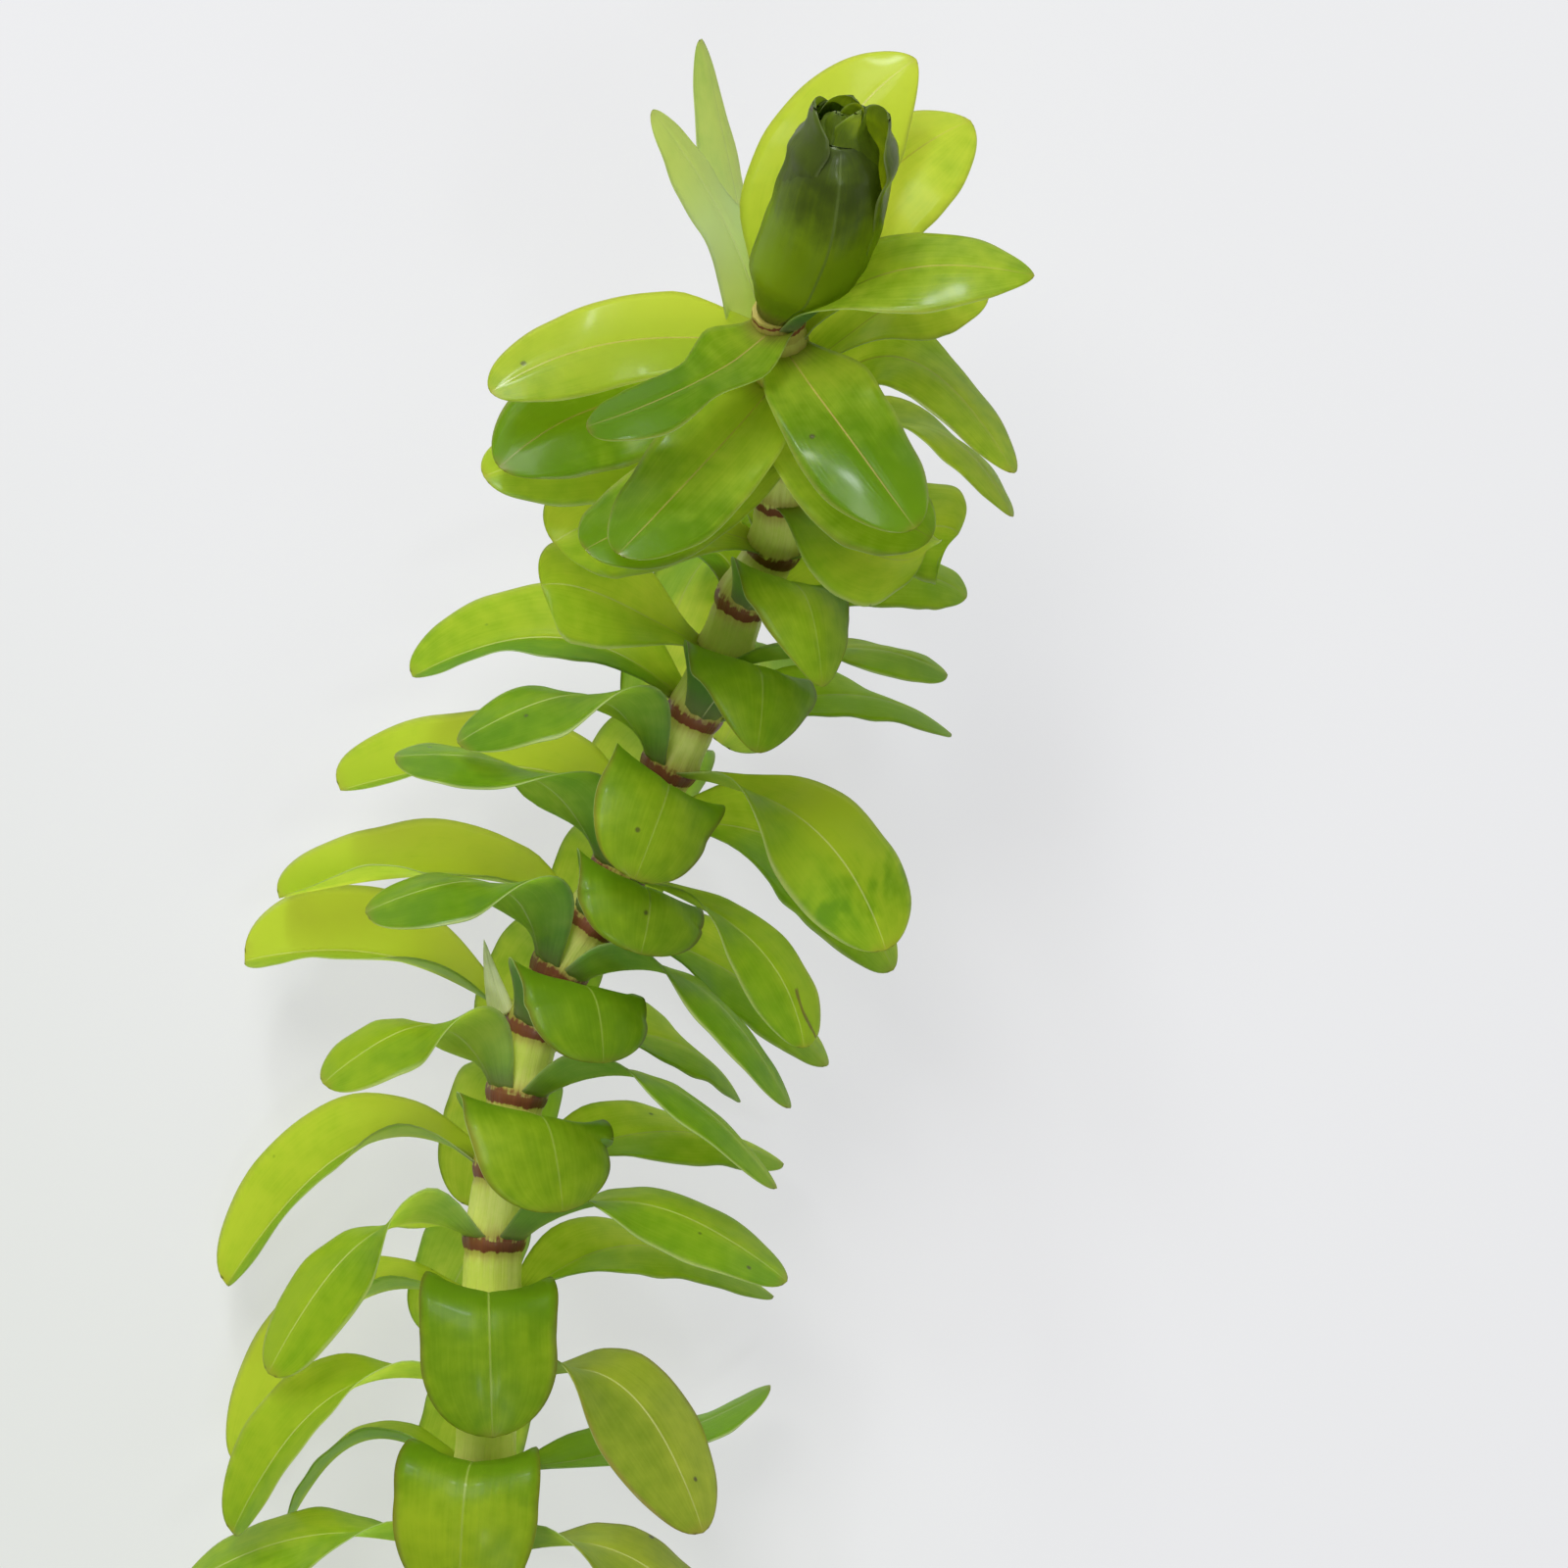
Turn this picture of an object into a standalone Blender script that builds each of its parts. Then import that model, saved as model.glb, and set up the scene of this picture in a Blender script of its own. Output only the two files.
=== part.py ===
# A cut shoot of elodea, a water plant, lying down: its lower half along the surface, its tip curving up.
# Millimetres here, metres in the mesh. X runs across the shoot, Y towards its growing tip, Z up.

import math

import bmesh
import bpy
from mathutils import Vector

MM = 0.001

# From the frame of the lines below to the middle of the shoot's outline, with its lowest leaf at zero.
MIDDLE = Vector((5.6, 3.5, -0.23))

# The stem's centre line: the cut end, the whorls from the lowest up, and the foot of the bud.
STEM_LINE = [
    (-9.3, -28.3, 4.8),
    (-9.3, -25.5, 4.8),
    (-9.2, -23.1, 4.9),
    (-9.0, -20.6, 4.9),
    (-8.9, -18.1, 5.0),
    (-8.8, -15.6, 5.0),
    (-8.7, -13.6, 5.1),
    (-8.4, -11.5, 5.2),
    (-8.0, -9.2, 5.4),
    (-7.5, -7.2, 5.5),
    (-6.7, -5.5, 5.8),
    (-5.7, -4.0, 6.1),
    (-4.9, -2.5, 6.4),
    (-4.2, -1.0, 6.8),
    (-3.4, 0.6, 7.3),
    (-2.6, 2.2, 7.8),
    (-1.8, 3.9, 8.6),
    (-1.2, 5.5, 9.5),
    (-0.3, 7.0, 10.5),
    (-0.1, 8.5, 11.6),
    (0.1, 9.6, 12.5),
    (0.1, 10.5, 13.3),
    (0.1, 11.4, 14.1),
    (0.1, 12.3, 15.0),
    (-0.0, 12.9, 15.6),
    (-0.1, 13.2, 15.9),
]
STEM_RADIUS_CUT = 0.93
STEM_RADIUS_TOP = 0.74
STEM_SIDES = 10

# A leaf is two cell layers thin. This is the least that stays a sound solid.
LEAF_THICKNESS = 0.24
# Leaves are set round the stem with a hairline gap, because the stem itself is under 2 mm thick.
LEAF_GAP = 0.06
# A leaf that is grown in one with the stem starts this far inside it.
LEAF_ROOT = 0.2
# A leaf's foot wraps round the stem by at most this half angle, in radians.
FOOT_ANGLE = 0.73
FOOT_SHARE = 0.5
# Stations along a leaf, as shares of its length, and points across its upper face.
STATIONS = (0.0, 0.1, 0.26, 0.46, 0.68, 0.89)
LANES = 5
# Where a leaf is widest, as a share of its length.
WIDEST = 0.56

# Every leaf, three to a whorl. The azimuth goes round the stem in degrees: 0 is the upper side, 90 the
# right, 180 the under side. Lift is the angle at which the leaf leaves the stem, and reach the distance
# that it keeps that way before it bends over to its tip. Cup is how far its margins turn under.
# whorl, side, azimuth, lift, reach, tip (x, y, z), width, twist, cup
LEAVES = [
    # whorl 1
    (1, "front", -4, 22, 5.2, (-9.3, -28.8, 9.0), 4.2, 0, 0.22),
    (1, "left", -118, 24, 4.2, (-16.9, -28.8, 1.1), 3.8, -20, 0.12),
    (1, "right", 115, 24, 4.2, (-2.2, -28.6, 1.05), 3.8, 20, 0.12),
    # whorl 2
    (2, "left", -66, 20, 4.6, (-18.3, -24.7, 4.6), 4.0, -30, 0.12),
    (2, "right", 60, 28, 4.6, (-1.3, -26.3, 6.5), 4.2, 25, 0.12),
    (2, "back", 180, 10, 3.0, (-10.8, -27.7, 0.5), 3.4, 0, 0.10),
    # whorl 3
    (3, "front", -5, 22, 5.4, (-9.6, -24.3, 8.8), 4.3, 0, 0.20),
    (3, "left", -112, 32, 4.2, (-14.9, -21.9, 2.4), 3.8, -20, 0.12),
    (3, "right", 112, 8, 4.8, (-0.4, -18.2, 3.2), 2.8, 5, 0.10),
    # whorl 4
    (4, "left", -64, 22, 4.6, (-16.5, -22.3, 5.9), 4.2, -35, 0.12),
    (4, "right", 62, 35, 4.6, (-2.4, -22.3, 7.0), 4.2, 30, 0.12),
    (4, "back", 180, 10, 3.0, (-10.5, -22.8, 0.5), 3.4, 0, 0.10),
    # whorl 5
    (5, "front", 0, 24, 5.4, (-8.6, -19.3, 9.2), 4.1, 0, 0.22),
    (5, "left", -118, 22, 4.6, (-16.5, -20.3, 2.0), 4.0, -38, 0.12),
    (5, "right", 108, 52, 4.4, (-0.3, -15.5, 3.0), 3.6, 10, 0.12),
    # whorl 6
    (6, "left", -70, 20, 4.0, (-15.5, -17.4, 5.6), 3.8, -35, 0.12),
    (6, "right", 60, 48, 4.5, (0.1, -14.8, 7.2), 3.8, 28, 0.12),
    (6, "back", -174, 15, 3.0, (-10.8, -16.8, 0.6), 3.4, 0, 0.10),
    # whorl 7
    (7, "front", 13, 50, 5.8, (-6.3, -12.6, 10.0), 4.4, 4, 0.22),
    (7, "left", -115, 26, 4.6, (-17.0, -14.9, 2.4), 4.0, -38, 0.12),
    (7, "right", 112, 36, 4.6, (-0.0, -11.5, 2.8), 3.4, 10, 0.12),
    # whorl 8
    (8, "left", -56, 62, 4.0, (-13.7, -8.9, 7.6), 3.8, -25, 0.15),
    (8, "right", 58, 46, 4.5, (-0.2, -12.0, 7.8), 3.6, 8, 0.12),
    (8, "back", -175, 15, 3.0, (-9.6, -12.9, 0.7), 3.4, 0, 0.10),
    # whorl 9
    (9, "front", 12, 47, 5.6, (-5.3, -8.2, 10.6), 4.2, 12, 0.22),
    (9, "left", -112, 22, 4.4, (-16.3, -5.0, 3.3), 3.9, -28, 0.14),
    (9, "right", 115, 20, 4.4, (-1.3, -9.6, 3.2), 3.2, 5, 0.12),
    # whorl 10
    (10, "left", -50, 58, 4.3, (-12.4, -3.8, 8.4), 3.8, -12, 0.15),
    (10, "right", 59, 60, 4.2, (0.2, -9.6, 8.4), 3.4, 10, 0.12),
    (10, "back", -170, 15, 3.2, (-8.7, -8.7, 0.7), 3.4, 0, 0.10),
    # whorl 11
    (11, "front", 10, 50, 5.6, (-4.2, -5.0, 11.2), 4.2, 12, 0.22),
    (11, "left", -119, 6, 4.6, (-15.2, -3.3, 4.2), 3.9, -28, 0.12),
    (11, "right", 122, 12, 4.4, (1.3, -8.5, 4.0), 3.4, 12, 0.12),
    # whorl 12
    (12, "left", -54, 50, 4.3, (-11.5, 0.8, 9.4), 3.8, -10, 0.12),
    (12, "right", 70, 18, 5.0, (0.6, -7.7, 8.8), 3.3, 30, 0.12),
    (12, "back", -172, 10, 3.2, (-6.3, -5.7, 0.6), 3.4, 0, 0.10),
    # whorl 13
    (13, "front", 6, 53, 5.8, (-4.2, -2.8, 12.4), 4.3, -6, 0.22),
    (13, "left", -126, 3, 4.6, (-13.3, 0.3, 5.2), 4.0, -28, 0.12),
    (13, "right", 115, 28, 4.6, (3.3, -5.6, 4.4), 4.0, 25, 0.12),
    # whorl 14
    (14, "left", -54, 52, 4.2, (-9.6, 1.2, 10.2), 3.6, -4, 0.12),
    (14, "right", 66, 26, 4.8, (3.0, -4.9, 9.8), 4.0, 36, 0.12),
    (14, "back", -170, 5, 3.4, (-5.5, -1.5, 0.28), 3.6, 0, 0.10),
    # whorl 15
    (15, "front", 18, 72, 5.6, (-0.8, 0.9, 13.4), 4.2, 6, 0.22),
    (15, "left", -118, 8, 4.8, (-11.1, 3.5, 6.2), 3.7, -24, 0.12),
    (15, "right", 108, 46, 4.4, (5.0, 1.5, 6.4), 2.6, -8, 0.12),
    # whorl 16
    (16, "left", -62, 30, 4.6, (-7.0, 5.8, 11.6), 3.7, -20, 0.12),
    (16, "right", 65, 48, 4.6, (4.8, 3.2, 11.0), 3.0, 6, 0.12),
    (16, "back", 160, 0, 3.8, (-1.9, 1.2, 0.28), 3.6, 0, 0.10),
    # whorl 17
    (17, "front", 24, 70, 5.4, (1.2, 2.9, 14.6), 4.1, 10, 0.20),
    (17, "left", -148, 10, 4.4, (-4.4, 1.8, 2.2), 3.4, -20, 0.12),
    (17, "right", 118, 40, 4.6, (5.4, 5.5, 8.8), 2.8, -5, 0.12),
    # whorl 18
    (18, "left", -66, 16, 4.4, (-6.7, 7.0, 13.0), 3.5, -22, 0.12),
    (18, "right", 95, 40, 4.6, (5.1, 7.3, 11.4), 3.8, 20, 0.12),
    (18, "back", -168, 0, 4.0, (-2.3, 5.8, 3.8), 3.6, 0, 0.10),
    # whorl 19
    (19, "left", -85, 24, 4.6, (-8.7, 8.9, 13.8), 3.4, -10, 0.12),
    (19, "right", 42, 2, 4.4, (4.1, 6.5, 15.6), 4.0, 12, 0.15),
    (19, "back", 175, 10, 4.0, (0.0, 6.2, 5.0), 3.4, 0, 0.12),
    # whorl 20
    (20, "left", -42, 6, 4.4, (-5.7, 6.7, 16.8), 3.7, -12, 0.15),
    (20, "right", 90, 38, 4.6, (6.6, 7.7, 14.8), 3.2, -8, 0.12),
    (20, "back", -158, 64, 4.4, (-2.4, 21.8, 11.4), 3.2, 45, 0.12),
    # whorl 21
    (21, "front", 18, 8, 4.4, (4.1, 6.6, 18.0), 3.8, 4, 0.15),
    (21, "left", -90, 28, 4.6, (-8.2, 9.1, 15.2), 3.8, -25, 0.12),
    (21, "right", 106, 50, 4.6, (6.6, 8.9, 16.4), 3.2, -10, 0.12),
    # whorl 22
    (22, "left", -32, 6, 4.2, (-4.7, 6.5, 19.2), 3.8, -6, 0.15),
    (22, "right", 98, 50, 4.4, (5.9, 14.0, 15.2), 3.2, 6, 0.12),
    (22, "back", -160, 66, 4.2, (-3.8, 19.3, 16.2), 3.0, 45, 0.12),
    # whorl 23
    (23, "front", 32, 12, 4.4, (3.6, 7.3, 20.0), 3.7, 0, 0.15),
    (23, "left", -90, 14, 4.6, (-8.4, 11.1, 16.6), 3.2, -14, 0.12),
    (23, "right", 138, 60, 4.8, (5.4, 19.2, 14.0), 4.0, 0, 0.12),
    # whorl 24
    (24, "left", -60, 10, 4.0, (-5.5, 9.8, 19.4), 3.0, -4, 0.12),
    (24, "right", 64, 48, 4.6, (7.1, 14.4, 19.0), 3.4, 14, 0.12),
    (24, "back", 157, 58, 5.0, (3.5, 20.9, 16.0), 4.6, 0, 0.12),
]


def is_grown_in(whorl, side):
    """The leaves that are grown in one with the stem: the lowest whorl, and those on its under side."""
    return whorl == 1 or side == "back" and whorl < 20 or (whorl, side) == (17, "left")


# The bud's own young leaves, pressed round its core.
# azimuth, lift, reach, tip (x, y, z), width, twist, cup
BUD_LEAVES = [
    (5, 84, 4.6, (1.7, 17.9, 22.4), 3.9, 0, -0.45),
    (-112, 84, 4.4, (0.8, 19.3, 20.4), 3.2, 0, -0.45),
    (124, 80, 4.4, (3.7, 18.8, 20.4), 3.2, 0, -0.45),
    (62, 86, 5.0, (2.9, 18.9, 22.4), 3.0, 0, -0.5),
    (-58, 88, 5.0, (1.3, 19.1, 22.2), 3.0, 0, -0.5),
    (180, 86, 5.0, (2.2, 19.6, 21.0), 3.2, 0, -0.5),
]
BUD_TOP = Vector((2.0, 18.6, 21.6))
# The core's radius at shares of its length.
BUD_CORE = ((0.0, 0.70), (0.12, 0.98), (0.35, 1.25), (0.6, 1.2), (0.82, 0.85), (0.96, 0.35))
BUD_SIDES = 8

GREEN = (0.29, 0.47, 0.05)
YOUNG_GREEN = (0.12, 0.25, 0.04)
STEM_GREEN = (0.62, 0.66, 0.33)


def clear_scene():
    for thing in list(bpy.data.objects):
        bpy.data.objects.remove(thing, do_unlink=True)


def make_material(name, colour, roughness):
    material = bpy.data.materials.new(name)
    material.use_nodes = True
    shader = material.node_tree.nodes["Principled BSDF"]
    shader.inputs["Base Color"].default_value = (*colour, 1.0)
    shader.inputs["Roughness"].default_value = roughness
    shader.inputs["Metallic"].default_value = 0.0
    return material


def ease(x):
    x = min(max(x, 0.0), 1.0)
    return x * x * (3 - 2 * x)


def stem_points():
    return [Vector(point) for point in STEM_LINE]


def stem_radius(index):
    share = index / (len(STEM_LINE) - 1)
    return STEM_RADIUS_CUT + (STEM_RADIUS_TOP - STEM_RADIUS_CUT) * share


def stem_frame(points, index):
    """The stem's direction at a whorl, and its upper and right sides there."""
    before = points[max(index - 1, 0)]
    after = points[min(index + 1, len(points) - 1)]
    along = (after - before).normalized()
    up = Vector((0.0, 0.0, 1.0))
    front = (up - along * up.dot(along)).normalized()
    return along, front, along.cross(front)


def leaf_half_width(share, width, foot):
    """Half the width of a leaf at a share of its length, from its narrow foot to its blunt tip."""
    half = width / 2
    if share < WIDEST:
        return foot + (half - foot) * math.sin(math.pi / 2 * ease(share / WIDEST))
    rest = (share - WIDEST) / (1 - WIDEST)
    return half * (1 - rest ** 2.2) ** 0.55


def carried_across(start, bends, count=24):
    """The direction across a leaf at even steps along its midrib, carried along without turning."""
    across = start.copy()
    steps = []
    for step in range(count + 1):
        heading = midrib_heading(step / count, bends)
        across = (across - heading * across.dot(heading)).normalized()
        steps.append(across.copy())
    return steps


def midrib_point(share, bends):
    foot, bend, tip = bends
    return foot * (1 - share) ** 2 + bend * (2 * share * (1 - share)) + tip * share ** 2


def midrib_heading(share, bends):
    foot, bend, tip = bends
    return ((bend - foot) * (1 - share) + (tip - bend) * share).normalized()


def leaf_rings(centre, frame, hold, leaf, stations=STATIONS):
    """Closed rings of points round a leaf, from its foot to near its tip, and the tip itself."""
    azimuth, lift, reach, tip, width, twist, cup = leaf
    along, front, right = frame
    turn = math.radians(azimuth)
    lift = math.radians(lift)
    outward = front * math.cos(turn) + right * math.sin(turn)
    sideways = right * math.cos(turn) - front * math.sin(turn)
    foot_point = centre + outward * hold
    start = outward * math.cos(lift) + along * math.sin(lift)
    bends = (foot_point, foot_point + start * reach, Vector(tip))
    carried = carried_across(sideways, bends)
    foot = min(FOOT_ANGLE * hold, width / 2 * FOOT_SHARE)
    rings = []
    for share in stations:
        heading = midrib_heading(share, bends)
        across = carried[round(share * (len(carried) - 1))]
        across = (across - heading * across.dot(heading)).normalized()
        spin = math.radians(twist) * ease((share - 0.08) / 0.5)
        across = across * math.cos(spin) + heading.cross(across) * math.sin(spin)
        face = heading.cross(across)
        half = leaf_half_width(share, width, foot)
        free = ease(share / 0.25)
        upper = []
        lower = []
        for lane in range(LANES):
            spread = -1 + 2 * lane / (LANES - 1)
            lens = LEAF_THICKNESS / 2 * (1 - spread * spread)
            rib = midrib_point(share, bends)
            blade = rib + across * (spread * half) - face * (cup * half * spread * spread)
            angle = spread * half / hold
            spoke = outward * math.cos(angle) + sideways * math.sin(angle)
            clasp = rib + (spoke - outward) * hold
            lean = along * math.cos(lift) - spoke * math.sin(lift)
            point = clasp.lerp(blade, free)
            normal = lean.lerp(face, free).normalized()
            upper.append(point + normal * lens)
            lower.append(point - normal * lens)
        rings.append(upper[::-1] + lower[1:-1])
    return rings, Vector(tip)


def close_foot(mesh, ring):
    """Close a leaf's foot with a strip of faces from edge to edge, so that it follows the stem."""
    upper = ring[:LANES]
    lower = [ring[0]] + ring[:LANES - 1:-1] + [ring[LANES - 1]]
    for lane in range(LANES - 1):
        corners = (upper[lane + 1], upper[lane], lower[lane], lower[lane + 1])
        mesh.faces.new(list(dict.fromkeys(corners)))


def split_faces(mesh, near, far):
    """Split the faces between two rings of a leaf from the midrib outwards, above and below alike."""
    for lane in range(LANES - 1):
        inner, outer = (lane + 1, lane) if lane < LANES // 2 else (lane, lane + 1)
        for below in (False, True):
            start = near[ring_index(inner, below)]
            end = far[ring_index(outer, below)]
            shared = [face for face in start.link_faces if end in face.verts]
            bmesh.utils.face_split(shared[0], start, end)


def ring_index(lane, below):
    """Where a leaf's ring has its point of a lane, on the upper or the under face."""
    if below and 0 < lane < LANES - 1:
        return LANES - 1 + lane
    return LANES - 1 - lane


def extrude_rings(rings, tip=None, is_leaf=False):
    """A closed mesh made by extruding the first ring's face through the others."""
    mesh = bmesh.new()
    first = [mesh.verts.new(place(point)) for point in rings[0]]
    face = mesh.faces.new(first)
    levels = [first]
    for ring in rings[1:]:
        face = bmesh.ops.extrude_discrete_faces(mesh, faces=[face])["faces"][0]
        levels.append(list(face.verts))
        for vert, point in zip(face.verts, ring):
            vert.co = place(point)
    if tip is not None:
        end = bmesh.ops.poke(mesh, faces=[face])["verts"][0]
        end.co = place(tip)
    if is_leaf:
        for near, far in zip(levels, levels[1:]):
            split_faces(mesh, near, far)
        close_foot(mesh, first)
    else:
        mesh.faces.new(first[::-1])
    return mesh


def place(point):
    return (point + MIDDLE) * MM


def make_object(name, mesh, material):
    data = bpy.data.meshes.new(name)
    mesh.to_mesh(data)
    mesh.free()
    data.materials.append(material)
    data.shade_smooth()
    data.set_sharp_from_angle(angle=math.radians(50))
    thing = bpy.data.objects.new(name, data)
    bpy.context.collection.objects.link(thing)
    return thing


def leaf_mesh(points, index, leaf, depth):
    """One leaf on its whorl. Depth is how far its foot stands off the stem, or below zero how far in."""
    hold = stem_radius(index) + depth + LEAF_THICKNESS / 2
    rings, tip = leaf_rings(points[index], stem_frame(points, index), hold, leaf)
    return extrude_rings(rings, tip, True)


def fuse(body, extras):
    """Unite the extra objects with the body, one after another, and remove them."""
    for extra in extras:
        union = body.modifiers.new("grown in", "BOOLEAN")
        union.operation = "UNION"
        union.solver = "EXACT"
        union.object = extra
        bpy.context.view_layer.update()
        shape = bpy.data.meshes.new_from_object(body.evaluated_get(bpy.context.evaluated_depsgraph_get()))
        body.modifiers.remove(union)
        body.data = shape
        bpy.data.objects.remove(extra, do_unlink=True)


def ring_around(centre, frame, radius, sides):
    along, front, right = frame
    turns = [2 * math.pi * side / sides for side in range(sides)]
    return [centre + (front * math.cos(turn) + right * math.sin(turn)) * radius for turn in turns]


def make_stem(points, material):
    rings = []
    for index, point in enumerate(points):
        rings.append(ring_around(point, stem_frame(points, index), stem_radius(index), STEM_SIDES))
    stem = make_object("stem", extrude_rings(rings), material)
    grown = []
    for whorl, side, *leaf in LEAVES:
        if is_grown_in(whorl, side):
            mesh = leaf_mesh(points, whorl, leaf, -LEAF_ROOT)
            grown.append(make_object("grown", mesh, material))
    fuse(stem, grown)
    return stem


def make_leaves(points, material):
    for whorl, side, *leaf in LEAVES:
        if not is_grown_in(whorl, side):
            name = "leaf_%02d_%s" % (whorl, side)
            make_object(name, leaf_mesh(points, whorl, leaf, LEAF_GAP), material)


def make_bud(points, material):
    along, front, right = stem_frame(points, len(points) - 1)
    foot = points[-1] + along * LEAF_GAP
    axis = BUD_TOP - foot
    rings = []
    for share, radius in BUD_CORE:
        rings.append(ring_around(foot + axis * share, (along, front, right), radius, BUD_SIDES))
    bud = make_object("bud", extrude_rings(rings, BUD_TOP), material)
    scales = []
    for leaf in BUD_LEAVES:
        scale_rings, tip = leaf_rings(foot + axis * 0.06, (axis.normalized(), front, right), 0.8, leaf)
        scales.append(make_object("scale", extrude_rings(scale_rings, tip, True), material))
    fuse(bud, scales)


def main():
    clear_scene()
    points = stem_points()
    make_stem(points, make_material("stem", STEM_GREEN, 0.45))
    make_leaves(points, make_material("leaf", GREEN, 0.35))
    make_bud(points, make_material("young_leaf", YOUNG_GREEN, 0.35))


main()
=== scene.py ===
# An elodea shoot that lies on a pale table, seen from straight above.
# Lengths are in millimetres and turned into metres where a point is placed.
import math
import bpy
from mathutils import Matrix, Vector, noise


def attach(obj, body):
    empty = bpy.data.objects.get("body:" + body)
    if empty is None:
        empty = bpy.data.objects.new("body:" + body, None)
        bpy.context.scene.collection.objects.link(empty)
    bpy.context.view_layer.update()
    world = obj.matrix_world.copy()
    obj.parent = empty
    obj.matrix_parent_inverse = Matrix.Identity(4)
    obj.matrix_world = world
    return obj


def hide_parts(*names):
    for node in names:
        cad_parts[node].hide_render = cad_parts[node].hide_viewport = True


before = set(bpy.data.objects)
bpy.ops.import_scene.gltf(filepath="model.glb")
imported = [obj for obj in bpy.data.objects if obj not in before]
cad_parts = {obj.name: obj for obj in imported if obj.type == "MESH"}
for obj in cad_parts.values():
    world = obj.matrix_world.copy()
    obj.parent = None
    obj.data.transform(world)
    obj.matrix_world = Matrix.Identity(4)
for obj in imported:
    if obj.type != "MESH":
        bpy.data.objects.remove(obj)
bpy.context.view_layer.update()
mm = 0.001
middle = Vector((5.6, 3.5, -0.23))  # points here count from the picture's middle
chanceShape = {"scale": 1.37, "offset": Vector((0.31, 0.57, 0.83)), "gain": 1.7}


def place(point):
    return (point + middle) * mm


def ease(x):
    x = min(max(x, 0.0), 1.0)
    return x * x * (3 - 2 * x)


def rise(x, start, length):
    # 0 up to start, 1 from start + length on, smooth between them
    return ease((x - start) / length)


def bell(x, width):
    return math.exp(-(x / width) ** 2)


def chance(*numbers):
    # the same value between -1 and 1 each time for the same numbers
    value = noise.noise(Vector(numbers) * chanceShape["scale"] + chanceShape["offset"])
    return max(-1.0, min(1.0, chanceShape["gain"] * value))


def around(first, second, angle):
    # the first direction, turned towards the second
    return first * math.cos(angle) + second * math.sin(angle)


def frameOn(along, front=Vector((0.0, 0.0, 1.0))):
    # three directions on a line: along it, square to it as near as can be to front, and square to both
    front = (front - along * front.dot(along)).normalized()
    return along, front, along.cross(front)


# ---- camera
view = {"height": 250.0, "level": 5.0, "seen": 47.06, "sensor": 36.0, "nearest": 5.0}


def addCamera():
    lens = bpy.data.cameras.new("camera")
    lens.sensor_width = view["sensor"]
    lens.lens = view["sensor"] * view["height"] / view["seen"]
    lens.clip_start = view["nearest"] * mm
    holder = bpy.data.objects.new("camera", lens)
    holder.location = place(Vector((0.0, 0.0, view["height"] + view["level"])))
    bpy.context.scene.collection.objects.link(holder)
    bpy.context.scene.camera = holder


addCamera()
print("camera looks down from", view["height"], "mm")


# ---- shader helpers
class Wire:
    # a socket that can be used in sums like a number
    def __init__(self, recipe, socket):
        self.recipe = recipe
        self.socket = socket

    def sum(self, operation, *values):
        return self.recipe.add("ShaderNodeMath", {"operation": operation}, dict(enumerate(values)))

    def __add__(self, other): return self.sum("ADD", self, other)
    def __radd__(self, other): return self.sum("ADD", other, self)
    def __sub__(self, other): return self.sum("SUBTRACT", self, other)
    def __rsub__(self, other): return self.sum("SUBTRACT", other, self)
    def __mul__(self, other): return self.sum("MULTIPLY", self, other)
    def __rmul__(self, other): return self.sum("MULTIPLY", other, self)
    def __gt__(self, other): return self.sum("GREATER_THAN", self, other)
    def __abs__(self): return self.sum("ABSOLUTE", self)


class Recipe:
    def __init__(self, name):
        self.material = bpy.data.materials.new(name)
        self.material.use_nodes = True
        self.tree = self.material.node_tree
        self.tree.nodes.clear()

    def add(self, kind, settings=None, inputs=None, output=0):
        node = self.tree.nodes.new(kind)
        for name, value in (settings or {}).items():
            setattr(node, name, value)
        for name, value in (inputs or {}).items():
            if isinstance(value, Wire):
                self.tree.links.new(value.socket, node.inputs[name])
            else:
                node.inputs[name].default_value = value
        return Wire(self, node.outputs[output])

    def blend(self, factor, first, second):
        return self.add("ShaderNodeMix", {"data_type": "RGBA"}, {0: factor, 6: first, 7: second}, 2)

    def between(self, value, low, high):
        # 0 below low, 1 above high, smooth between them
        inputs = {"Value": value, "From Min": low, "From Max": high}
        return self.add("ShaderNodeMapRange", {"interpolation_type": "SMOOTHSTEP"}, inputs)

    def grain(self, where, scale, detail=2.0):
        # three scales stretch the pattern
        if isinstance(scale, tuple):
            where = self.add("ShaderNodeMapping", None, {"Vector": where, "Scale": scale})
            scale = 1.0
        return self.add("ShaderNodeTexNoise", None, {"Vector": where, "Scale": scale, "Detail": detail})

    def cells(self, where, scale, output):
        return self.add("ShaderNodeTexVoronoi", None, {"Vector": where, "Scale": scale}, output)

    def map(self, name):
        return self.add("ShaderNodeUVMap", {"uv_map": name})

    def space(self):
        return self.add("ShaderNodeTexCoord", output=3)

    def axis(self, where, number):
        return self.add("ShaderNodeSeparateXYZ", None, {"Vector": where}, number)

    def bump(self, height, strength, distance):
        return self.add("ShaderNodeBump", None, {"Height": height, "Strength": strength, "Distance": distance})

    def skin(self, inputs):
        return self.add("ShaderNodeBsdfPrincipled", None, inputs)

    def glow(self, colour):
        return self.add("ShaderNodeBsdfTranslucent", None, {"Color": colour})

    def cross(self, factor, first, second):
        return self.add("ShaderNodeMixShader", None, {0: factor, 1: first, 2: second})

    def show(self, shader):
        output = self.tree.nodes.new("ShaderNodeOutputMaterial")
        self.tree.links.new(shader.socket, output.inputs["Surface"])
        return self.material


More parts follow.
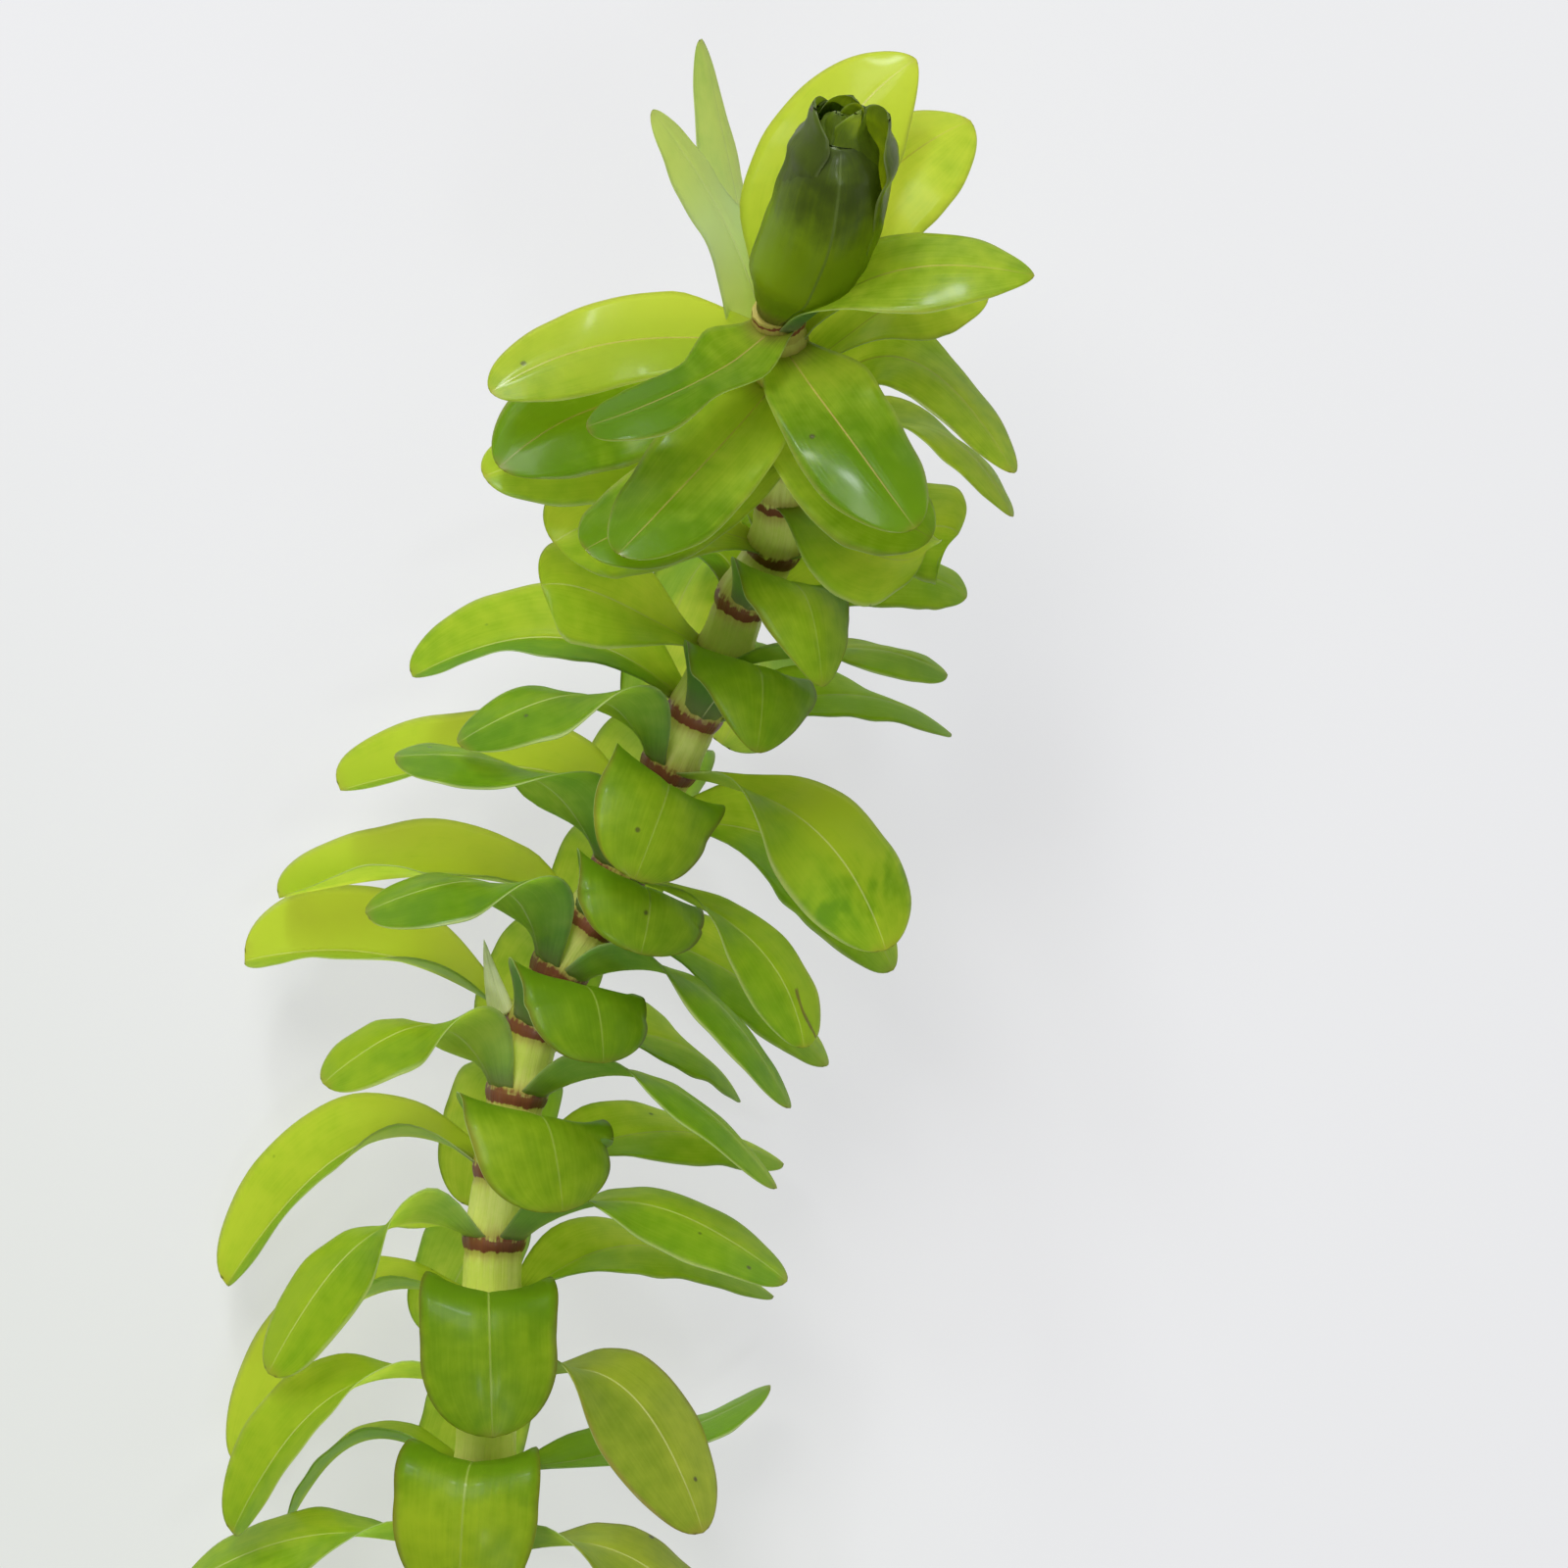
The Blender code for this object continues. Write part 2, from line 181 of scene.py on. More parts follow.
# ---- leaf materials
# each look's paintedShadeAndSheen colour is painted light: a bluish painted shade on one half of a side leaf, a
# whitish painted sheen on the back leaves at the top, a grey painted sheen at the top of the bud
leafLooks = {
    "sideLeaf": {
        "deep": (0.070, 0.155, 0.005, 1), "bright": (0.290, 0.420, 0.013, 1), "paintedShadeAndSheen": (0.100, 0.250, 0.070, 1),
        "through": (0.94, 0.99, 0.20, 1), "throughDeep": (0.74, 0.95, 0.09, 1), "passes": 0.76,
        # the pale margin colour of a side leaf is a painted rim of light along its edge
        "rib": (0.66, 0.64, 0.28, 1), "marginAndRimLight": (0.62, 0.64, 0.26, 1), "tip": (0.34, 0.22, 0.04, 1),
        "foot": (0.28, 0.20, 0.05, 1), "roughness": 0.34, "coat": 0.24, "specular": 0.28,
    },
    "frontLeaf": {
        "deep": (0.070, 0.130, 0.006, 1), "bright": (0.270, 0.360, 0.018, 1), "paintedShadeAndSheen": (0.060, 0.160, 0.040, 1),
        "through": (0.94, 0.98, 0.16, 1), "throughDeep": (0.70, 0.88, 0.07, 1), "passes": 0.72,
        "rib": (0.30, 0.37, 0.07, 1), "marginAndRimLight": (0.17, 0.055, 0.025, 1), "tip": (0.22, 0.12, 0.03, 1),
        "foot": (0.20, 0.13, 0.03, 1), "roughness": 0.38, "coat": 0.16, "specular": 0.24,
    },
    "topLeaf": {
        "deep": (0.050, 0.105, 0.003, 1), "bright": (0.460, 0.540, 0.060, 1), "paintedShadeAndSheen": (0.120, 0.240, 0.090, 1),
        "through": (0.97, 0.99, 0.22, 1), "throughDeep": (0.70, 0.88, 0.07, 1), "passes": 0.80,
        "rib": (0.50, 0.30, 0.12, 1), "marginAndRimLight": (0.36, 0.34, 0.09, 1), "tip": (0.28, 0.16, 0.03, 1),
        "foot": (0.30, 0.20, 0.06, 1), "roughness": 0.30, "coat": 0.46, "specular": 0.30,
    },
    # the back leaves at the top: their whiteness, in the colours and in the light through them, is a painted
    # sheen
    "paintedSheenLeaf": {
        "deep": (0.060, 0.140, 0.020, 1), "bright": (0.420, 0.520, 0.160, 1), "paintedShadeAndSheen": (0.860, 0.920, 0.880, 1),
        "through": (0.95, 1.0, 0.52, 1), "throughDeep": (0.84, 0.97, 0.44, 1), "passes": 0.84,
        "rib": (0.50, 0.52, 0.24, 1), "marginAndRimLight": (0.30, 0.36, 0.12, 1), "tip": (0.20, 0.18, 0.04, 1),
        "foot": (0.30, 0.26, 0.06, 1), "roughness": 0.30, "coat": 0.34, "specular": 0.30,
    },
    "warmLeaf": {
        "deep": (0.110, 0.150, 0.010, 1), "bright": (0.380, 0.400, 0.050, 1), "paintedShadeAndSheen": (0.160, 0.260, 0.060, 1),
        "through": (0.97, 0.95, 0.26, 1), "throughDeep": (0.84, 0.88, 0.16, 1), "passes": 0.68,
        "rib": (0.62, 0.60, 0.26, 1), "marginAndRimLight": (0.34, 0.17, 0.05, 1), "tip": (0.30, 0.16, 0.04, 1),
        "foot": (0.28, 0.20, 0.05, 1), "roughness": 0.36, "coat": 0.20, "specular": 0.28,
    },
    "leafUnder": {
        "deep": (0.075, 0.200, 0.095, 1), "bright": (0.240, 0.420, 0.190, 1), "paintedShadeAndSheen": (0.100, 0.280, 0.170, 1),
        "through": (0.94, 0.99, 0.36, 1), "throughDeep": (0.70, 0.93, 0.22, 1), "passes": 0.72,
        "rib": (0.74, 0.78, 0.40, 1), "marginAndRimLight": (0.50, 0.52, 0.22, 1), "tip": (0.30, 0.24, 0.05, 1),
        "foot": (0.30, 0.26, 0.10, 1), "roughness": 0.36, "coat": 0.14, "specular": 0.32,
    },
    "youngLeaf": {
        "deep": (0.080, 0.112, 0.008, 1), "bright": (0.270, 0.400, 0.012, 1), "paintedShadeAndSheen": (0.150, 0.185, 0.085, 1),
        "through": (0.92, 0.98, 0.12, 1), "throughDeep": (0.60, 0.74, 0.09, 1), "passes": 0.62,
        "rib": (0.13, 0.18, 0.03, 1), "marginAndRimLight": (0.20, 0.24, 0.08, 1), "tip": (0.10, 0.14, 0.04, 1),
        "foot": (0.26, 0.16, 0.04, 1), "roughness": 0.28, "coat": 0.20, "specular": 0.3,
    },
}
# the same on every leaf: the scale of its grain, where its marks start and end, and how strong they are
leafGrain = {"patch": 260.0, "mottle": 1900.0, "cells": 9000.0, "streak": (46.0, 3.0, 1.0), "specks": 620.0}
leafEdges = {
    "shade": (0.34, 0.66), "rib": (0.012, 0.046), "rim": (0.995, 1.075), "tip": (0.93, 1.06),
    "foot": (0.045, 0.12), "speck": (0.035, 0.075),
}
leafMarks = {
    "paintedShadeAndSheen": 0.75, "rib": 0.95, "ribFades": 0.45, "rim": 0.70, "tip": 0.65, "foot": 0.60, "scratch": 0.90,
    "speck": 0.85, "speckFrom": 0.78, "speckColour": (0.05, 0.035, 0.008, 1),
}
leafSkin = {
    "bumps": 0.25, "bumpHeight": 0.00006, "uneven": 0.12, "coatFoot": 0.2, "coatTip": 0.8, "coatRoughness": 0.16,
}
# a thin brown scratch that bows over one leaf, placed on the leaf's own map
scratch = {
    "side": 0.35, "middle": 0.67, "bow": 6.5, "start": 0.590, "end": 0.88, "fade": 0.02,
    "width": 0.042, "inner": 0.75, "outer": 1.35, "ragged": 0.03, "colour": (0.110, 0.026, 0.008, 1),
}


def scratchLine(leaf, across, along, mottle):
    past = along - scratch["middle"]
    away = abs(across + past * past * scratch["bow"] - scratch["side"])
    begun = leaf.between(along, scratch["start"], scratch["start"] + scratch["fade"])
    ended = leaf.between(along, scratch["end"], scratch["end"] + scratch["fade"])
    width = scratch["width"]
    edge = leaf.between(away + mottle * scratch["ragged"], width * scratch["inner"], width * scratch["outer"])
    return (1 - edge) * (begun * (1 - ended)) * leafMarks["scratch"]


def makeLeafMaterial(name, look, scratched=False):
    leaf = Recipe(name)
    flat = leaf.map("UVMap")
    across = leaf.axis(flat, 0)
    along = leaf.axis(flat, 1)
    spot = leaf.space()
    fromRib = abs(across * 2 - 1)
    patch = leaf.grain(spot, leafGrain["patch"])
    mottle = leaf.grain(spot, leafGrain["mottle"], 3.0)
    cells = leaf.grain(spot, leafGrain["cells"], 1.0)
    streak = leaf.grain(flat, leafGrain["streak"])
    # the tint map holds how light a spot is, partly painted shade, and how strong the painted cool shade and
    # painted sheen are there
    tint = leaf.map("tint")
    tone = leaf.axis(tint, 0)
    paintedShadeAndSheen = leaf.axis(tint, 1)
    shade = leaf.between(patch * 0.26 + mottle * 0.22 + streak * 0.14 + tone * 0.38, *leafEdges["shade"])
    ribMask = (1 - leaf.between(fromRib, *leafEdges["rib"])) * (leafMarks["rib"] - along * leafMarks["ribFades"])
    rimMask = leaf.between(fromRib + patch * 0.10 + along * 0.03, *leafEdges["rim"])
    tipMask = leaf.between(along + mottle * 0.10, *leafEdges["tip"])
    footMask = 1 - leaf.between(along + streak * 0.06, *leafEdges["foot"])
    speckSize = leaf.cells(spot, leafGrain["specks"], 0)
    speckPick = leaf.axis(leaf.cells(spot, leafGrain["specks"], 1), 0) > leafMarks["speckFrom"]
    speck = (1 - leaf.between(speckSize, *leafEdges["speck"])) * speckPick
    # the colour, one mark over the other
    colour = leaf.blend(shade, look["deep"], look["bright"])
    # the painted cool shade and painted sheen, laid over the colour and dimming the light through the leaf below
    colour = leaf.blend(paintedShadeAndSheen * leafMarks["paintedShadeAndSheen"], colour, look["paintedShadeAndSheen"])
    colour = leaf.blend(ribMask, colour, look["rib"])
    # the rim takes each look's margin colour: the leaf's own margin on most leaves, a painted pale rim light on
    # side leaves and undersides
    for mask, mark, paint in ((rimMask, "rim", "marginAndRimLight"), (tipMask, "tip", "tip"), (footMask, "foot", "foot")):
        colour = leaf.blend(mask * leafMarks[mark], colour, look[paint])
    colour = leaf.blend(speck * leafMarks["speck"], colour, leafMarks["speckColour"])
    if scratched:
        line = scratchLine(leaf, across, along, mottle)
        colour = leaf.blend(line, colour, scratch["colour"])
        speck = speck + line
    skin = leaf.skin({
        "Base Color": colour, "Roughness": look["roughness"] + mottle * leafSkin["uneven"],
        "Normal": leaf.bump(cells * 0.5 + streak * 0.8 + mottle * 0.6, leafSkin["bumps"], leafSkin["bumpHeight"]),
        "Coat Weight": look["coat"] * (along * leafSkin["coatTip"] + leafSkin["coatFoot"]),
        "Coat Roughness": leafSkin["coatRoughness"], "Specular IOR Level": look["specular"]})
    # the light from below, brighter where the leaf is lighter and weaker through its marks
    clear = shade - footMask * 0.35 - rimMask * 0.15 - speck * 0.8 - paintedShadeAndSheen * 0.25
    glow = leaf.cross(clear, leaf.glow(look["throughDeep"]), leaf.glow(look["through"]))
    hidden = ribMask * 0.42 + rimMask * 0.22 + (1 - shade) * 0.12 + paintedShadeAndSheen * 0.10
    hidden = hidden + speck * 0.5 + tipMask * 0.14 + footMask * 0.25
    return leaf.show(leaf.cross(look["passes"] - hidden, skin, glow))


leafMaterials = {name: makeLeafMaterial(name, look) for name, look in leafLooks.items()}
leafMaterials["scratchedLeaf"] = makeLeafMaterial("scratchedLeaf", leafLooks["sideLeaf"], scratched=True)
print("leaf materials made:", len(leafMaterials))


# ---- stem materials
stemLook = {
    "pale": (0.96, 0.98, 0.32, 1), "green": (0.74, 0.86, 0.12, 1), "band": (0.17, 0.030, 0.020, 1),
    "blush": (0.40, 0.26, 0.05, 1), "through": (0.99, 1.0, 0.50, 1), "passes": 0.42,
    "fibres": (54.0, 60.0, 1.0), "lines": (110.0, 18.0, 1.0), "patch": 420.0, "speckle": 5200.0,
    "greenEdge": (0.38, 0.64), "blushEdge": (0.55, 1.25), "bandEdge": (0.36, 0.62),
    "blushed": 0.75, "banded": 0.94, "roughness": 0.36, "bumps": 0.35, "bumpHeight": 0.00008,
}
cutLook = {
    "pith": (0.60, 0.64, 0.36, 1), "pithGreen": (0.46, 0.53, 0.22, 1), "wall": (0.20, 0.24, 0.09, 1),
    "ducts": 5200.0, "mottle": 2600.0, "pithEdge": (0.35, 0.65), "wallEdge": (0.45, 0.7),
    "roughness": 0.5, "bumps": 0.6, "bumpHeight": 0.00008,
}
sheathLook = {
    "pale": (0.86, 0.87, 0.46, 1), "clear": (0.95, 0.95, 0.66, 1), "through": (0.90, 0.94, 0.62, 1),
    "lines": (40.0, 2.0, 1.0), "lineEdge": (0.35, 0.65), "roughness": 0.5, "passes": 0.10,
}


def makeStemMaterial():
    stem = Recipe("stemSkin")
    flat = stem.map("UVMap")
    spot = stem.space()
    fibres = stem.grain(flat, stemLook["fibres"], 3.0)
    lines = stem.grain(flat, stemLook["lines"])
    patch = stem.grain(spot, stemLook["patch"])
    speckle = stem.grain(spot, stemLook["speckle"])
    tint = stem.map("tint")
    green = stem.between(patch * 0.5 + lines * 0.3 + speckle * 0.2, *stemLook["greenEdge"])
    blush = stem.between(stem.axis(tint, 1) + fibres * 0.5, *stemLook["blushEdge"])
    band = stem.between(stem.axis(tint, 0) + fibres * 0.5 + speckle * 0.3 - 0.4, *stemLook["bandEdge"])
    colour = stem.blend(green, stemLook["pale"], stemLook["green"])
    colour = stem.blend(blush * stemLook["blushed"], colour, stemLook["blush"])
    colour = stem.blend(band * stemLook["banded"], colour, stemLook["band"])
    skin = stem.skin({
        "Base Color": colour, "Roughness": stemLook["roughness"] + fibres * 0.18,
        "Normal": stem.bump(lines + fibres * 0.5, stemLook["bumps"], stemLook["bumpHeight"]),
        "Coat Weight": 0.06, "Coat Roughness": 0.25, "Specular IOR Level": 0.3})
    passes = stemLook["passes"] - band * 0.36 - blush * 0.10
    return stem.show(stem.cross(passes, skin, stem.glow(stemLook["through"])))


def makeCutMaterial():
    cut = Recipe("stemCut")
    spot = cut.space()
    ducts = cut.cells(spot, cutLook["ducts"], 0)
    mottle = cut.grain(spot, cutLook["mottle"], 3.0)
    colour = cut.blend(cut.between(mottle, *cutLook["pithEdge"]), cutLook["pith"], cutLook["pithGreen"])
    colour = cut.blend(cut.between(ducts, *cutLook["wallEdge"]), colour, cutLook["wall"])
    return cut.show(cut.skin({
        "Base Color": colour, "Roughness": cutLook["roughness"] + mottle * 0.2,
        "Normal": cut.bump(1 - ducts, cutLook["bumps"], cutLook["bumpHeight"])}))


def makeSheathMaterial():
    sheath = Recipe("paleSheath")
    lines = sheath.grain(sheath.map("UVMap"), sheathLook["lines"])
    colour = sheath.blend(sheath.between(lines, *sheathLook["lineEdge"]), sheathLook["pale"], sheathLook["clear"])
    skin = sheath.skin({"Base Color": colour, "Roughness": sheathLook["roughness"] + lines * 0.1})
    return sheath.show(sheath.cross(lines * 0.2 + sheathLook["passes"], skin, sheath.glow(sheathLook["through"])))


stemSkin = makeStemMaterial()
stemCut = makeCutMaterial()
paleSheath = makeSheathMaterial()
print("stem materials made")


# ---- the stem's line: the cut end, the whorls from the lowest up, the foot of the bud
stemLine = [Vector(point) for point in (
    (-9.3, -28.3, 4.8), (-9.3, -25.5, 4.8), (-9.2, -23.1, 4.9), (-9.0, -20.6, 4.9), (-8.9, -18.1, 5.0),
    (-8.8, -15.6, 5.0), (-8.7, -13.6, 5.1), (-8.4, -11.5, 5.2), (-8.0, -9.2, 5.4), (-7.5, -7.2, 5.5),
    (-6.7, -5.5, 5.8), (-5.7, -4.0, 6.1), (-4.9, -2.5, 6.4), (-4.2, -1.0, 6.8), (-3.4, 0.6, 7.3),
    (-2.6, 2.2, 7.8), (-1.8, 3.9, 8.6), (-1.2, 5.5, 9.5), (-0.3, 7.0, 10.5), (-0.1, 8.5, 11.6),
    (0.1, 9.75, 12.5), (0.0, 10.8, 13.3), (-0.05, 11.8, 14.1), (-0.1, 12.75, 15.0), (-0.15, 13.35, 15.6),
    (-0.2, 13.65, 15.95))]
stemShape = {
    "cutRadius": 0.93, "topRadius": 0.70, "sides": 48, "rings": 420, "steps": 40, "ahead": 0.02, "sharpEdge": 50,
    "swelling": 0.09, "swellingLength": 0.42, "waist": 0.05, "waistBelow": 0.45, "waistLength": 0.16,
    "flutes": 13, "fluteDepth": 0.016, "fluteSway": 0.6, "swayLength": 0.7, "lumps": 0.03, "lumpLength": 0.35,
    "cutRings": ((0.0, 0.03), (0.3, 0.01), (0.55, 0.035), (0.8, 0.02), (0.93, -0.01)),
}
# the brown bands at the whorls, the two thin rings under the bud and the blush round them
bandShape = {
    "below": 0.20, "width": 0.18, "edgeAbove": 0.1, "edgeWidth": 0.16, "edge": 0.4, "ragged": 0.07,
    "weaker": 0.65, "weakerFrom": (17, 6), "budRings": (0.10, 0.42), "budRingWidth": 0.07, "budRing": 0.75,
    "blush": 0.8, "blushLength": 0.9, "blushBelow": 0.3, "blushWidth": 0.4, "blushTop": (23, 1.2),
}


def stemRadius(index):
    share = index / (len(stemLine) - 1)
    return stemShape["cutRadius"] + (stemShape["topRadius"] - stemShape["cutRadius"]) * share


def stemFrame(index):
    before = stemLine[max(index - 1, 0)]
    after = stemLine[min(index + 1, len(stemLine) - 1)]
    return frameOn((after - before).normalized())


def stemPoint(run):
    # a smooth curve through the stem's points; run counts them
    index = min(int(run), len(stemLine) - 2)
    t = run - index
    a = stemLine[max(index - 1, 0)]
    b = stemLine[index]
    c = stemLine[index + 1]
    d = stemLine[min(index + 2, len(stemLine) - 1)]
    return 0.5 * (2 * b + (c - a) * t + (2 * a - 5 * b + 4 * c - d) * t ** 2
                  + (3 * b - a - 3 * c + d) * t ** 3)


# ---- leaves: whorl, side, azimuth, lift, reach, tip (x, y, z), width, twist, cup
leaves = [
    (1, "front", -4, 22, 5.2, (-9.3, -28.8, 9.0), 4.2, 0, 0.22),
    (1, "left", -118, 24, 4.2, (-16.9, -28.8, 1.3), 3.8, -20, 0.12),
    (1, "right", 115, 24, 4.2, (-2.2, -28.6, 1.25), 3.8, 20, 0.12),
    (2, "left", -66, 20, 4.6, (-18.3, -24.3, 4.6), 4.0, -34, 0.16),
    (2, "right", 60, 28, 4.6, (-1.3, -26.3, 6.5), 4.2, 25, 0.12),
    (2, "back", 180, 10, 3.0, (-10.8, -27.7, 0.7), 3.4, 0, 0.10),
    (3, "front", -5, 22, 5.4, (-9.6, -24.3, 8.8), 4.3, 0, 0.20),
    (3, "left", -112, 32, 4.2, (-15.0, -22.5, 2.8), 2.4, -12, -0.30),
    (3, "right", 112, 8, 4.8, (-0.4, -18.2, 3.2), 2.8, 5, 0.10),
    (4, "left", -64, 22, 4.6, (-16.5, -22.4, 5.9), 3.0, -30, -0.42),
    (4, "right", 62, 35, 4.6, (-2.4, -22.3, 7.0), 4.2, 30, 0.12),
    (4, "back", 180, 10, 3.0, (-10.5, -22.8, 0.7), 3.4, 0, 0.10),
    (5, "front", 0, 24, 5.4, (-8.6, -19.3, 9.2), 4.1, 0, 0.22),
    (5, "left", -118, 22, 4.6, (-16.6, -20.7, 2.0), 3.1, -46, -0.58),
    (5, "right", 108, 52, 4.4, (-0.3, -15.5, 3.0), 3.6, 10, 0.12),
    (6, "left", -60, 30, 3.8, (-15.4, -17.6, 6.4), 3.2, -30, 0.12),
    (6, "right", 60, 48, 4.5, (0.1, -14.8, 7.2), 3.8, 28, 0.12),
    (6, "back", -174, 15, 3.0, (-10.8, -16.8, 0.75), 3.4, 0, 0.10),
    (7, "front", 10, 50, 5.8, (-6.5, -12.6, 10.0), 4.9, 2, 0.20),
    (7, "left", -115, 26, 4.6, (-16.9, -15.2, 2.4), 3.4, -44, -0.58),
    (7, "right", 112, 36, 4.6, (-0.0, -11.5, 2.8), 3.4, 10, 0.12),
    (8, "left", -56, 62, 4.0, (-13.7, -8.9, 7.6), 3.4, -26, 0.12),
    (8, "right", 58, 46, 4.5, (-0.2, -12.0, 7.8), 3.6, 8, 0.12),
    (8, "back", -175, 15, 3.0, (-9.6, -12.9, 0.7), 3.4, 0, 0.10),
    (9, "front", 12, 47, 5.6, (-5.3, -8.2, 10.6), 4.2, 12, 0.22),
    (9, "left", -112, 16, 4.4, (-16.3, -5.35, 3.3), 4.1, -30, -0.60),
    (9, "right", 115, 20, 4.4, (-1.3, -9.6, 3.2), 3.2, 5, 0.12),
    (10, "left", -50, 58, 4.3, (-12.4, -3.8, 8.4), 3.8, -12, 0.15),
    (10, "right", 59, 60, 4.2, (0.2, -9.6, 8.4), 3.4, 10, 0.12),
    (10, "back", -170, 15, 3.2, (-8.7, -8.7, 0.7), 3.4, 0, 0.10),
    (11, "front", 10, 50, 5.6, (-4.2, -5.0, 11.2), 4.2, 12, 0.22),
    (11, "left", -119, -12, 4.6, (-15.2, -3.45, 4.2), 4.0, -20, -0.58),
    (11, "right", 122, 12, 4.4, (1.3, -8.5, 4.0), 3.4, 12, 0.12),
    (12, "left", -54, 50, 4.3, (-11.5, 0.8, 9.4), 3.8, -10, 0.12),
    (12, "right", 70, 14, 4.7, (0.6, -7.8, 8.8), 2.6, 26, 0.12),
    (12, "back", -172, 10, 3.2, (-6.3, -5.7, 0.6), 3.4, 0, 0.10),
    (13, "front", 4, 53, 5.8, (-4.35, -2.8, 12.4), 3.8, -12, 0.24),
    (13, "left", -126, -4, 4.6, (-13.3, -0.2, 5.2), 4.0, -20, -0.52),
    (13, "right", 115, 28, 4.6, (3.3, -5.6, 4.4), 4.0, 25, 0.12),
    (14, "left", -54, 52, 4.2, (-9.6, 1.2, 10.2), 3.6, -4, 0.12),
    (14, "right", 66, 26, 4.8, (3.0, -4.9, 9.8), 4.0, 36, 0.12),
    (14, "back", -170, 5, 3.4, (-5.5, -1.5, 0.50), 3.6, 0, 0.10),
    (15, "front", 18, 72, 5.6, (-0.8, 0.9, 13.4), 4.2, 6, 0.22),
    (15, "left", -118, 8, 4.8, (-11.1, 3.2, 6.2), 3.7, -18, -0.46),
    (15, "right", 108, 46, 4.4, (5.0, 1.5, 6.4), 2.6, -8, 0.12),
    (16, "left", -62, 22, 4.6, (-7.1, 5.8, 11.6), 3.4, -34, 0.12),
    (16, "right", 65, 48, 4.6, (4.8, 3.2, 11.0), 3.0, 6, 0.12),
    (16, "back", 160, 0, 3.8, (-1.9, 1.2, 0.50), 3.6, 0, 0.10),
    (17, "front", 20, 70, 4.8, (1.1, 2.8, 14.6), 3.7, 8, 0.22),
    (17, "left", -148, 10, 4.4, (-4.4, 1.8, 2.2), 3.4, -20, 0.12),
    (17, "right", 118, 40, 4.6, (5.4, 5.5, 8.8), 2.8, -5, 0.12),
    (18, "left", -66, 16, 4.4, (-6.7, 7.0, 13.0), 3.4, -34, 0.12),
    (18, "right", 95, 40, 4.6, (5.1, 7.3, 11.4), 3.8, 20, 0.12),
    (18, "back", -168, 0, 4.0, (-2.3, 5.8, 3.8), 3.6, 0, 0.10),
    (19, "left", -85, 24, 4.6, (-8.7, 8.9, 13.8), 3.4, -10, 0.12),
    (19, "right", 42, 2, 4.4, (4.1, 6.7, 15.6), 3.6, 12, 0.15),
    (19, "back", 175, 10, 4.0, (0.0, 6.2, 5.0), 3.4, 0, 0.12),
    (20, "left", -42, 6, 4.4, (-5.7, 6.7, 16.8), 3.3, -12, 0.15),
    (20, "right", 90, 38, 4.6, (6.6, 7.7, 14.8), 3.0, -38, 0.12),
    (20, "back", -158, 64, 4.4, (-2.4, 21.8, 11.4), 3.3, 50, 0.12),
    (21, "front", 18, 8, 4.4, (4.2, 7.0, 18.0), 3.4, 4, 0.15),
    (21, "left", -90, 28, 4.6, (-8.2, 9.1, 15.2), 3.8, -25, 0.12),
    (21, "right", 106, 50, 4.6, (6.6, 8.9, 16.4), 3.0, -45, 0.12),
    (22, "left", -28, 6, 4.2, (-4.7, 6.5, 19.2), 3.3, -6, 0.15),
    (22, "right", 98, 50, 4.4, (5.9, 14.0, 15.2), 3.2, 6, 0.12),
    (22, "back", -160, 66, 4.2, (-3.8, 19.3, 16.2), 2.6, 50, 0.12),
    (23, "front", 17, 14, 4.4, (3.7, 7.2, 20.0), 3.3, 0, 0.15),
    (23, "left", -90, 16, 4.6, (-8.4, 11.2, 16.6), 2.7, -16, 0.12),
    (23, "right", 138, 60, 4.8, (5.4, 19.2, 14.0), 4.0, 0, 0.12),
    (24, "left", -30, 22, 4.4, (-5.6, 10.1, 19.4), 2.4, -4, 0.12),
    (24, "right", 66, 58, 4.6, (7.1, 14.4, 19.0), 3.4, 10, 0.12),
    (24, "back", 157, 60, 5.0, (3.8, 20.8, 16.0), 4.0, 0, 0.12),
]
# how the width runs from the foot to the tip, for each form of leaf
formNumbers = ("footAngle", "footShare", "widest", "fullness", "oblong", "blunt")
leafForms = {name: dict(zip(formNumbers, numbers)) for name, *numbers in (
    ("side", 0.92, 0.62, 0.52, 0.85, 3.3, 0.52),
    ("sideBlunt", 0.92, 0.62, 0.56, 0.85, 5.0, 0.50),
    ("front", 1.00, 0.80, 0.45, 1.50, 6.5, 0.50),
    ("pointed", 0.72, 0.55, 0.48, 1.00, 1.9, 0.62),
    ("top", 1.40, 0.95, 0.50, 1.15, 2.6, 0.57),
    ("topPointed", 1.35, 0.80, 0.46, 1.00, 1.9, 0.66),
    ("topNecked", 1.40, 1.00, 0.50, 1.15, 3.2, 0.52))}
# single leaves that differ from the rest: their form, their material, and how light they are from 0 to 1
oddForms = {
    (15, "front"): "pointed", (17, "front"): "pointed",
    (24, "back"): "topPointed", (24, "right"): "topPointed", (24, "left"): "topNecked",
}
oddLooks = {
    (2, "right"): "warmLeaf", (4, "right"): "warmLeaf", (12, "right"): "scratchedLeaf",
    (20, "back"): "paintedSheenLeaf", (22, "back"): "paintedSheenLeaf",
}
